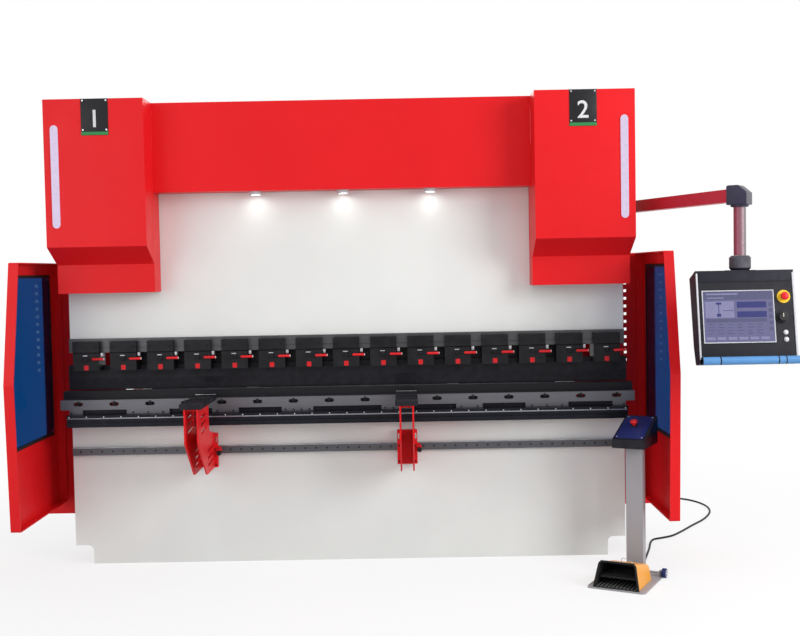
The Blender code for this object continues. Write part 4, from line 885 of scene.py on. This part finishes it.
def makePendantPanel(height, band, strip, screen, border):
    half = panelHalf
    bm = bmesh.new()
    addSlab(bm, roundedCorners((-half + 0.012, -height + 0.016), (half - 0.012, -0.020), 0.008),
            panelFace - 0.002, panelFace, "Y", 0.0008, 0, pendantAxes)
    high, low = band
    addSlab(bm, roundedCorners((-half + 0.018, low), (half - 0.018, high), 0.006), panelFace - 0.0045,
            panelFace - 0.0015, "Y", 0.0008, 1, pendantAxes)
    for side in (-1, 1):
        a, b = sorted((side * (half - 0.001), side * (half - strip)))
        addSlab(bm, roundedCorners((a, -height + 0.02), (b, -0.022), 0.004), panelFace - 0.0055, panelFace,
                "Y", 0.001, 2, pendantAxes)
    newPiece("pendantPanel", bm, (panelGrey, darkPlastic, silverPlastic), "pendant_head")

    def corners(inset):
        x0, x1, z0, z1 = (edge + way * inset for edge, way in zip(screen, (1, -1, 1, -1)))
        return [(x0, z0), (x1, z0), (x1, z1), (x0, z1)]
    bm = bmesh.new()
    addFrame(bm, corners(0), corners(border), panelFace - 0.007, panelFace - 0.001, "Y", pendantAxes)
    addSlab(bm, corners(border * 0.8), panelFace - 0.0045, panelFace - 0.001, "Y", 0, 1, pendantAxes)
    newPiece("pendantScreen", bm, (silverPlastic, screenLavender), "pendant_head")
    makeScreenPicture(*corners(border)[0], *corners(border)[2], panelFace - 0.0045)


# Areas of the lit screen: shade, extent in parts of the screen, and layer
def makeScreenPicture(x0, z0, x1, z1, face):
    wide, high = x1 - x0, z1 - z0
    areas = [("light", 0.03, 0.44, 0.48, 0.80, 1), ("grey", 0.0, 1.0, 0.83, 1.0, 1),
             ("light", 0.05, 0.50, 0.93, 0.96, 2), ("light", 0.05, 0.30, 0.86, 0.88, 2),
             ("dark", 0.18, 0.26, 0.74, 0.78, 2),
             ("dark", 0.215, 0.225, 0.56, 0.74, 2), ("dark", 0.19, 0.25, 0.50, 0.56, 2),
             ("dark", 0.28, 0.43, 0.615, 0.625, 2), ("dark", 0.48, 0.90, 0.67, 0.79, 1),
             ("dark", 0.48, 0.90, 0.48, 0.60, 1), ("grey", 0.03, 0.90, 0.39, 0.46, 1)]
    areas += [("grey", 0.06 + column * 0.14, 0.12 + column * 0.14 + 0.01 * (line + column) % 0.03,
               0.34 - line * 0.06, 0.36 - line * 0.06, 1) for line in range(4) for column in range(6)]
    areas += [("light", 0.03 + column * 0.155, 0.15 + column * 0.155, 0.05, 0.10, 1) for column in range(6)]
    areas += [("grey", 0.93, 0.985, 0.22 + line * 0.12, 0.29 + line * 0.12, 1) for line in range(5)]
    for name, finish in (("light", screenPale), ("dark", screenBlue), ("grey", screenGrey)):
        bm = bmesh.new()
        for shade, a0, a1, b0, b1, layer in areas:
            if shade == name:
                addBox(bm, (x0 + wide * a0, face - 0.0003 * layer, z0 + high * b0),
                       (x0 + wide * a1, face, z0 + high * b1), 0, 0, pendantAxes)
        newPiece(f"screenPicture{name.title()}", bm, finish, "pendant_head")


controlSettings = {
    "stop": (0.182, -0.142, 0.032), "dial": (0.170, -0.243, 0.030),
    "buttons": ((0.183, -0.316), (0.184, -0.350)),
}


def makePendantControls(stop, dial, buttons):
    face = panelFace - 0.002

    def onFace(x, z):
        return pendantAxes @ facing((x, face, z), front)
    bm = bmesh.new()
    x, z, radius = stop
    place = onFace(x, z)
    addTurned(bm, [(0, 0), (radius, 0), (radius, 0.003), (radius - 0.002, 0.005), (0, 0.005)], place, 32)
    addTurned(bm, [(0, 0.005), (0.011, 0.005), (0.011, 0.014), (0.018, 0.017), (0.0195, 0.022),
                   (0.017, 0.027), (0.010, 0.030), (0, 0.031)], place, 32, 1)
    x, z, radius = dial
    addTurned(bm, [(0, 0), (radius, 0), (radius, 0.004), (radius * 0.75, 0.006), (radius * 0.7, 0.020),
                   (radius * 0.6, 0.022), (0, 0.022)], onFace(x, z), 24, 2)
    addBox(bm, (x - 0.002, face - 0.024, z), (x + 0.002, face - 0.021, z + radius * 0.6), 0.0005, 3,
           pendantAxes)
    for x, z in buttons:
        addTurned(bm, [(0, 0), (0.0115, 0), (0.0115, 0.003), (0.0085, 0.004), (0.008, 0.009), (0.006, 0.010),
                       (0, 0.010)], onFace(x, z), 24, 3)
    newPiece("pendantControls", bm, (yellowPlastic, redPlastic, blackPlastic, whitePlastic),
             "pendant_head")


trimSettings = {
    "level": (-0.0945, -0.452), "radius": 0.0201,
    "trims": ((-panelHalf, 0.005), (-0.153, 0.007), (0.123, 0.006), (0.159, 0.006),
              (panelHalf - 0.006, 0.006)),
}


def makeHandleTrims(level, radius, trims):
    bm, edge = bmesh.new(), 0.001
    for x, wide in trims:
        addTurned(bm, [(0, 0), (radius - edge, 0), (radius, edge), (radius, wide - edge), (radius - edge, wide),
                       (0, wide)], pendantAxes @ facing((x, *level), right))
    newPiece("handleTrims", bm, blackPlastic, "pendant_head")


makePendantPanel(**panelSettings)
makePendantControls(**controlSettings)
makeHandleTrims(**trimSettings)

elbowSettings = {
    "centre": (1.975, -0.785, 0), "turn": 56, "bottom": 1.912, "top": 2.007, "half": (-0.052, 0.048),
    "chamfer": (0.006, 0.036), "depth": 0.047, "tube": 0.0295, "tubeBottom": 1.6655,
    "neck": (0.036, 0.066, 0.031), "armAngle": 110.0,
}


def makeElbow(centre, turn, bottom, top, half, chamfer, depth, tube, tubeBottom, neck, armAngle):
    upright = Matrix.Translation(centre)
    place = upright @ turned(turn - 90, "Z")
    (first, last), (inset, drop) = half, chamfer
    outline = [(first, bottom), (last, bottom), (last, top - drop), (inset, top), (first + 0.006, top),
               (first, top - 0.006)]
    bm = bmesh.new()
    addSlab(bm, outline, -depth, depth, "Y", 0.003, 0, place)
    bm.normal_update()
    outward = place.to_3x3() @ Vector(right)
    # Faces on the elbow's right side take the lighter grey: painted light where the light from the right falls
    for face in bm.faces:
        if abs(face.normal.dot(outward)) > 0.45 and face.calc_center_median().x > centre[0]:
            face.material_index = 2
    start, end, wide = neck
    addBox(bm, (start, -wide, bottom + 0.012), (end, wide, top - 0.012), 0.003, 0,
           upright @ turned(armAngle, "Z"))
    addTurned(bm, [(0, bottom - 0.010), (0.040, bottom - 0.010), (0.043, bottom - 0.007),
                   (0.043, bottom + 0.004), (0, bottom + 0.004)], upright, 32)
    addRod(bm, tube, tubeBottom, bottom, upright, 40, 1)
    newPiece("pendantElbow", bm, (elbowPlastic, dropSteelPaintedReflection, elbowPaintedLitSide), "pendant_arm",
             ("pendant_elbow",))


makeElbow(**elbowSettings)
print("pendant finished")


# Foot switch stand, in its own axes: X to its right, Y to its back

standSettings = {"place": (1.53, -0.42, 0), "yaw": 28}
standAxes = Matrix.Translation(standSettings["place"]) @ turned(-standSettings["yaw"], "Z")

consoleSettings = {"half": 0.085, "depth": 0.26, "frontTop": 0.7253, "backTop": 0.8203}


def makeConsole(half, depth, frontTop, backTop):
    slope = math.atan2(backTop - frontTop, depth)
    panel = standAxes @ Matrix.Translation((0, -depth / 2, frontTop)) @ Matrix.Rotation(slope, 4, "X")
    long = depth / math.cos(slope)
    bm = bmesh.new()
    addSlab(bm, roundedCorners((-half + 0.010, 0.016), (half - 0.012, long - 0.014), 0.008), -0.0005, 0.0035,
            "Z", 0.0012, 0, panel)
    knob = panel @ Matrix.Translation((-0.008, long * 0.56, 0))
    addTurned(bm, [(0, 0.0035), (0.0175, 0.0035), (0.0175, 0.006), (0.016, 0.0075), (0, 0.0075)], knob, 32, 1)
    addTurned(bm, [(0, 0.0075), (0.010, 0.0075), (0.010, 0.018), (0.018, 0.022), (0.0195, 0.027),
                   (0.015, 0.033), (0, 0.035)], knob, 32, 2)
    newPiece("consolePanel", bm, (navyPlastic, blackPlastic, redPlastic))
    spots = [(panel @ Vector((side * (half - 0.019), y, 0.0035)), panel.to_3x3() @ Vector(up))
             for side in (-1, 1) for y in (0.027, long - 0.025)]
    scatter("consoleScrews", spots, socketScrew(0.0045, 0.002), brightSteel)


footSettings = {
    "pedalLevel": 0.065, "pedalHalf": 0.092, "ribs": 7, "ribStart": -0.315, "ribPitch": 0.022, "rib": 0.008,
    "axle": (-0.039, 0.027), "face": 0.1715, "wide": 0.022,
}


def makeFootSwitch(pedalLevel, pedalHalf, ribs, ribStart, ribPitch, rib, axle, face, wide):
    low, high = pedalLevel - 0.0015, pedalLevel + 0.0022
    bm = bmesh.new()
    for i in range(ribs):
        y = ribStart + i * ribPitch
        addBox(bm, (-pedalHalf, y, low), (pedalHalf, y + rib, high), 0.0008, 0, standAxes)
    newPiece("pedalRibs", bm, rubber, "foot_pedal")
    bm = bmesh.new()
    addRod(bm, 0.0048, -face + 0.002, face - 0.002, standAxes @ facing((0, *axle), right), 16, 2)
    tyre = [(0.0049, -wide), (0.0235, -wide), (0.025, -wide + 0.0022), (0.025, -0.0022), (0.0235, -0.0002),
            (0.0185, 0), (0.0049, 0), (0.0049, -wide)]
    hub = [(0, -0.0015), (0.0180, -0.0015), (0.0180, 0.0006), (0.0150, 0.0010), (0.0120, -0.0004),
           (0.0065, -0.0004), (0.0055, 0.0016), (0, 0.0018)]
    for side in (-1, 1):
        outward = standAxes @ facing((side * face, *axle), (side, 0, 0))
        addTurned(bm, tyre, outward, 32)
        addTurned(bm, hub, outward, 32, 1)
    newPiece("pedestalWheels", bm, (tyreBlue, whitePlastic, screwSteel), "pedestal_wheels",
             ("pedestal_wheels",))


# Hood ends: mouth and back, each with its low and high (y, half width)

hoodSettings = {
    "mouth": ((-0.360, 0.115), (-0.334, 0.095)), "rear": ((-0.1215, 0.113), (-0.1215, 0.103)),
    "bottom": 0.0085, "mouthTop": 0.1355, "rearTop": 0.088, "wall": 0.004, "rounding": 0.022, "edge": 0.0055,
    "treads": 11, "treadHalf": 0.098,
}


def makeHood(mouth, rear, bottom, mouthTop, rearTop, wall, rounding, edge, treads, treadHalf):
    def arch(end, top, inset=0):
        (yLow, halfLow), (yHigh, halfHigh) = end
        halfLow, halfHigh, top, corner = halfLow - inset, halfHigh - inset, top - inset, rounding - inset
        side = [(-halfLow, bottom)]
        side += [(-halfHigh + corner - corner * math.cos(angle), top - corner + corner * math.sin(angle))
                 for angle in (math.radians(a) for a in (0, 22.5, 45, 67.5, 90))]
        side += [(-a, z) for a, z in side[::-1]]
        rise = top - bottom
        return [standAxes @ Vector((a, yLow + (yHigh - yLow) * (z - bottom) / rise, z)) for a, z in side]
    inward = standAxes.to_3x3() @ Vector((0, wall, 0))
    rim = arch(mouth, mouthTop)
    loops = (rim, arch(mouth, mouthTop, wall), arch(rear, rearTop),
             [point - inward for point in arch(rear, rearTop, wall)])
    bm = bmesh.new()
    outer, inner, outerBack, innerBack = ([bm.verts.new(point) for point in loop] for loop in loops)
    for i in range(len(outer) - 1):
        for quad, shade in (((outer[i], outer[i + 1], outerBack[i + 1], outerBack[i]), 0),
                            ((inner[i], innerBack[i], innerBack[i + 1], inner[i + 1]), 1),
                            ((outer[i], inner[i], inner[i + 1], outer[i + 1]), 0)):
            bm.faces.new(quad).material_index = shade
    for i in (0, -1):
        bm.faces.new((outer[i], outerBack[i], innerBack[i], inner[i]))
    bm.faces.new((outerBack[0], outerBack[-1], innerBack[-1], innerBack[0]))
    bm.faces.new(outerBack)
    bm.faces.new(innerBack).material_index = 1
    addTube(bm, smoothRoute(rim, 3), edge, 10, 2)
    roof = mouthTop - 0.014
    wire = [(0.0, -0.265, 0), (0.004, -0.262, 0.020), (0.026, -0.26, 0.018), (0.052, -0.258, 0.004),
            (0.056, -0.256, -0.004)]
    route = smoothRoute([(x, y, roof + rise) for x, y, rise in wire], 4)
    addTube(bm, [standAxes @ point for point in route], 0.0016, 8, 3)
    newPiece("footSwitchHood", bm, (yellowPaint, hoodInside, rubber, screwSteel), "machine",
             ("foot_switch_hood",))
    near, far, half, plate = mouth[0][0] - 0.004, rear[0][0] - wall, treadHalf + 0.01, bottom + 0.003
    bm = bmesh.new()
    addBox(bm, (-half, near, bottom - 0.0008), (half, far, plate), 0.001, 0, standAxes)
    for x in across(-treadHalf, treadHalf, treads):
        addBox(bm, (x - 0.0028, near + 0.004, plate), (x + 0.0028, far - 0.004, bottom + 0.0075), 0.0008, 1,
               standAxes)
    newPiece("footSwitchTread", bm, (hoodInside, treadGrey))


makeConsole(**consoleSettings)
makeFootSwitch(**footSettings)
makeHood(**hoodSettings)
print("pedestal finished")


# Rear: hydraulics on the tank, pipes to the cylinders, gauge rail, motor and cabinet fittings

hydraulicSettings = {
    "pipe": 0.011, "valve": (0.52, 0.66, 0.34, 0.18, 0.13), "portX": 1.19, "ports": (2.40, 1.93),
    "riser": 0.30, "entry": 0.105, "nutFace": 0.12, "filler": (-0.85, 0.75), "glass": (0.85, 1.87),
    "tankBack": 0.98, "lidHalf": 1.23, "lidCount": 12, "lidRows": (0.525, 0.975),
}


def makeHydraulics(pipe, valve, portX, ports, riser, entry, nutFace, filler, glass, tankBack, lidHalf, lidCount,
                   lidRows):
    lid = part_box("oil_tank")[1].z
    x, y, wide, deep, high = valve
    near, far, top = y + 0.03, y + deep - 0.03, lid + high
    bm = bmesh.new()
    addBox(bm, (x, y, lid), (x + wide, y + deep, top), 0.004)
    for i in range(3):
        cx = x + wide * (i + 0.5) / 3
        addBox(bm, (cx - 0.036, near, top), (cx + 0.036, far, top + 0.045), 0.004, 1)
        for end, heading in ((near, front), (far, back)):
            addTurned(bm, [(0, -0.005), (0.022, -0.005), (0.022, 0.045), (0.018, 0.050), (0, 0.050)],
                      facing((cx, end, top + 0.023), heading), 20, 2)
    newPiece("valveBlock", bm, (screwSteel, silverPlastic, blackPlastic))

    bm = bmesh.new()
    for side in (-1, 1):
        for number, port in enumerate(ports):
            level, rear = lid + 0.035 + number * 0.045, far - number * 0.07
            cx = side * (portX - number * 0.035)
            climb = (port - level) * 0.12
            begin, corner = Vector((x + wide if side > 0 else x, rear, level)), Vector((cx, rear, level))
            turnIn = Vector((cx, riser, level))
            route = [begin, begin.lerp(corner, 0.5), corner - Vector((side * 0.04, 0, 0)),
                     corner - Vector((0, 0.04, 0)), corner.lerp(turnIn, 0.5), turnIn + Vector((0, 0.03, 0)),
                     turnIn + Vector((0, 0, climb)), (cx, riser, port - climb), (cx, riser - 0.03, port),
                     (cx, entry, port)]
            addTube(bm, smoothRoute(route, 5), pipe)
            nuts = ((-0.02, 0.006, 0.008, 0.024, facing((cx, nutFace, port), back)),
                    (-0.004, 0.014, 0.016, 0.026, facing(begin, (side, 0, 0))))
            for low, edge, neck, tip, place in nuts:
                addTurned(bm, [(0, low), (0.019, low), (0.019, edge), (0.015, neck), (0.015, tip), (0, tip)],
                          place, 6)
    newPiece("hydraulicPipes", bm, screwSteel)

    bm = bmesh.new()
    addTurned(bm, [(0, 0), (0.048, 0), (0.048, 0.006), (0.036, 0.010), (0.036, 0.040), (0.042, 0.042),
                   (0.042, 0.066), (0.036, 0.072), (0, 0.072)], facing((*filler, lid), up), 32)
    middle, outer = (glass[0], glass[1] + 0.08), tankBack + 0.014
    addPad(bm, middle, (0.018, 0.08), 0.008, tankBack, outer, soft=0.002)
    addPad(bm, middle, (0.007, 0.055), 0.006, outer, tankBack + 0.018, soft=0.001, shade=1)
    newPiece("tankFittings", bm, (blackPlastic, yellowPlastic))
    spots = [((x, y, lid), up) for x in across(-lidHalf, lidHalf, lidCount) for y in lidRows]
    scatter("tankLidBolts", spots, hexBolt(0.0085, 0.008), screwSteel)


gaugeSettings = {"half": 1.255, "level": 0.906, "rail": (0.634, 0.654, 0.042), "screwPitch": 0.12}


def makeGaugeRail(half, level, rail, screwPitch):
    near, far, high = rail
    outline = [(near, -0.0002), (far, -0.0002), (far, high * 0.35), (far - 0.004, high * 0.5),
               (far, high * 0.68), (far, high), (near, high), (near, high * 0.68), (near + 0.004, high * 0.5),
               (near, high * 0.35)]
    bm = bmesh.new()
    addSlab(bm, [(y, level + z) for y, z in outline], -half, half, "X", 0.0008)
    newPiece("gaugeRail", bm, blackenedSteel)
    places = across(-half + 0.03, half - 0.03, int(2 * half / screwPitch))
    scatter("gaugeRailScrews", [((x, (near + far) / 2, level + high), up) for x in places],
            socketScrew(0.005, 0.001), screwSteel)


motorSettings = {"fins": 28, "foot": -0.93, "box": 0.55}


def makeMotorFins(fins, foot, box):
    low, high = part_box("pump_motor")
    middle = Vector((0, (low.y + high.y) / 2, (low.z + high.z) / 2))
    radius = (high.y - low.y) / 2
    fin = shapeOf(lambda bm: addBox(bm, (-0.15, -0.0016, -0.012), (0.15, 0.0016, 0.014), 0.0008))
    spots = []
    for i in range(fins):
        angle = 2 * math.pi * i / fins
        heading = (0, math.cos(angle), math.sin(angle))
        if heading[2] > foot and not box < heading[2] < 1.0 or heading[2] > 0.999:
            spots.append((middle + radius * Vector(heading), heading))
    scatter("motorFins", spots, fin, greyPaint)
    bm = bmesh.new()
    addBox(bm, (-0.075, middle.y - 0.06, high.z - 0.02), (0.075, middle.y + 0.06, high.z + 0.055), 0.005)
    addTurned(bm, [(0, 0), (radius - 0.004, 0), (radius + 0.006, 0.006), (radius + 0.006, 0.052),
                   (radius - 0.02, 0.062), (0, 0.062)], facing((low.x + 0.002, middle.y, middle.z), left), 40)
    newPiece("motorBoxAndCowl", bm, greyPaint)


cabinetSettings = {
    "vents": 9, "ventY": 0.66, "ventLow": 0.42, "ventPitch": 0.024, "handle": (0.44, 1.02),
    "hingeY": 0.972, "hinges": (0.52, 1.62),
}


def makeCabinetFittings(vents, ventY, ventLow, ventPitch, handle, hingeY, hinges):
    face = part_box("electrical_cabinet")[1].x
    slat = shapeOf(lambda bm: addBox(bm, (-0.004, -0.10, 0), (0.004, 0.10, 0.006), 0.001))
    scatter("cabinetVents", [((face, ventY, ventLow + i * ventPitch), right) for i in range(vents)], slat,
            offWhitePaint)
    bm = bmesh.new()
    y, z = handle
    addPad(bm, handle, (0.018, 0.07), 0.01, face, face + 0.012, "X", 0.002)
    addPad(bm, (y, z + 0.005), (0.010, 0.055), 0.008, face + 0.012, face + 0.022, "X", 0.003, 1)
    for level in hinges:
        addRod(bm, 0.009, -0.035, 0.035, facing((face - 0.006, hingeY, level), up), 16)
    newPiece("cabinetFittings", bm, (blackPlastic, screwSteel))


makeHydraulics(**hydraulicSettings)
makeGaugeRail(**gaugeSettings)
makeMotorFins(**motorSettings)
makeCabinetFittings(**cabinetSettings)

frameSettings = {
    "places": ((1.07, (0.20, 0.32)), (0.56, (1.83, 2.07)), (0.94, (1.83, 2.07)),
               (0.09, (1.75, 1.90, 2.05, 2.20, 2.35))),
    "bolt": (0.014, 0.012),
}
scatter("frameBolts", sideSpots("side_frame", frameSettings["places"]), hexBolt(*frameSettings["bolt"]),
        screwSteel)
print("rear fitted")


# Room and light

lightSettings = {
    "key": {"place": (5.0, -3.9, 3.0), "aim": (0.0, 0, 0.5), "size": 3.2, "power": 234},
    "fill": {"place": (-4.4, -5.2, 2.3), "aim": (-0.5, 0, 0.6), "size": 4.0, "power": 102},
    "back": {"place": (0.5, 4.5, 4.2), "aim": (0, 0.4, 1.3), "size": 4.0, "power": 105},
    "top": {"place": (0, -1.5, 5.6), "aim": (0, 0, 1.0), "size": 4.5, "power": 58},
}
roomSettings = {"world": 0.48, "bounce": 0.62, "shadow": 0.30, "nearEdge": 2.2, "farEdge": 4.2}


def areaLight(name, place, aim, size, power):
    data = bpy.data.lights.new(name, "AREA")
    data.size = size
    data.energy = power
    lamp = bpy.data.objects.new(name, data)
    lamp.location = place
    lamp.rotation_euler = (Vector(aim) - Vector(place)).to_track_quat("-Z", "Y").to_euler()
    scene.collection.objects.link(lamp)


# White to the eye, in gloss and through glass; softer for the light that bounces
def whiteForCamera(tree, seen, unseen, output):
    rays = tree.nodes.new("ShaderNodeLightPath").outputs
    direct = joined(tree, "ShaderNodeMath", rays["Is Camera Ray"], rays["Is Glossy Ray"], operation="MAXIMUM")
    direct = joined(tree, "ShaderNodeMath", direct, rays["Is Transmission Ray"], operation="MAXIMUM")
    plug(tree, output, joined(tree, "ShaderNodeMixShader", direct, unseen, seen))


def makeRoom(world, bounce, shadow, nearEdge, farEdge):
    scene.world = bpy.data.worlds.new("studio")
    scene.world.use_nodes = True
    tree = scene.world.node_tree
    soft = tree.nodes["Background"]
    feed(tree, soft, Color=(0.95, 0.97, 1.0), Strength=world)
    white = addNode(tree, "ShaderNodeBackground", Color=(1, 1, 1), Strength=1.0)
    whiteForCamera(tree, white.outputs[0], soft.outputs[0], tree.nodes["World Output"].inputs["Surface"])

    shade, tree, shader = newMaterial("paleFloor")
    feed(tree, shader, Base_Color=(0.95, 0.95, 0.95), Roughness=0.85)
    dim = addNode(tree, "ShaderNodeBsdfDiffuse", Color=(bounce, bounce, bounce))
    white = addNode(tree, "ShaderNodeEmission", Color=(1, 1, 1), Strength=1.0)
    away = tree.nodes.new("ShaderNodeVectorMath")
    away.operation = "LENGTH"
    plug(tree, away.inputs[0], objectCoordinates(tree))
    fade = mapRange(tree, away.outputs["Value"], 1 - shadow, 1.0, nearEdge, farEdge)
    seen = joined(tree, "ShaderNodeMixShader", fade, shader.outputs[0], white.outputs[0])
    whiteForCamera(tree, seen, dim.outputs[0], tree.nodes["Material Output"].inputs["Surface"])
    bm = bmesh.new()
    bmesh.ops.create_grid(bm, x_segments=1, y_segments=1, size=14)
    mesh = bpy.data.meshes.new("floor")
    bm.to_mesh(mesh)
    bm.free()
    mesh.materials.append(shade)
    floor = bpy.data.objects.new("floor", mesh)
    floor.location = (0, 0, -0.0005)
    scene.collection.objects.link(floor)


for lampName, values in lightSettings.items():
    areaLight(lampName + "Light", **values)
makeRoom(**roomSettings)
scene.view_settings.view_transform = "Standard"
print("room and light ready")
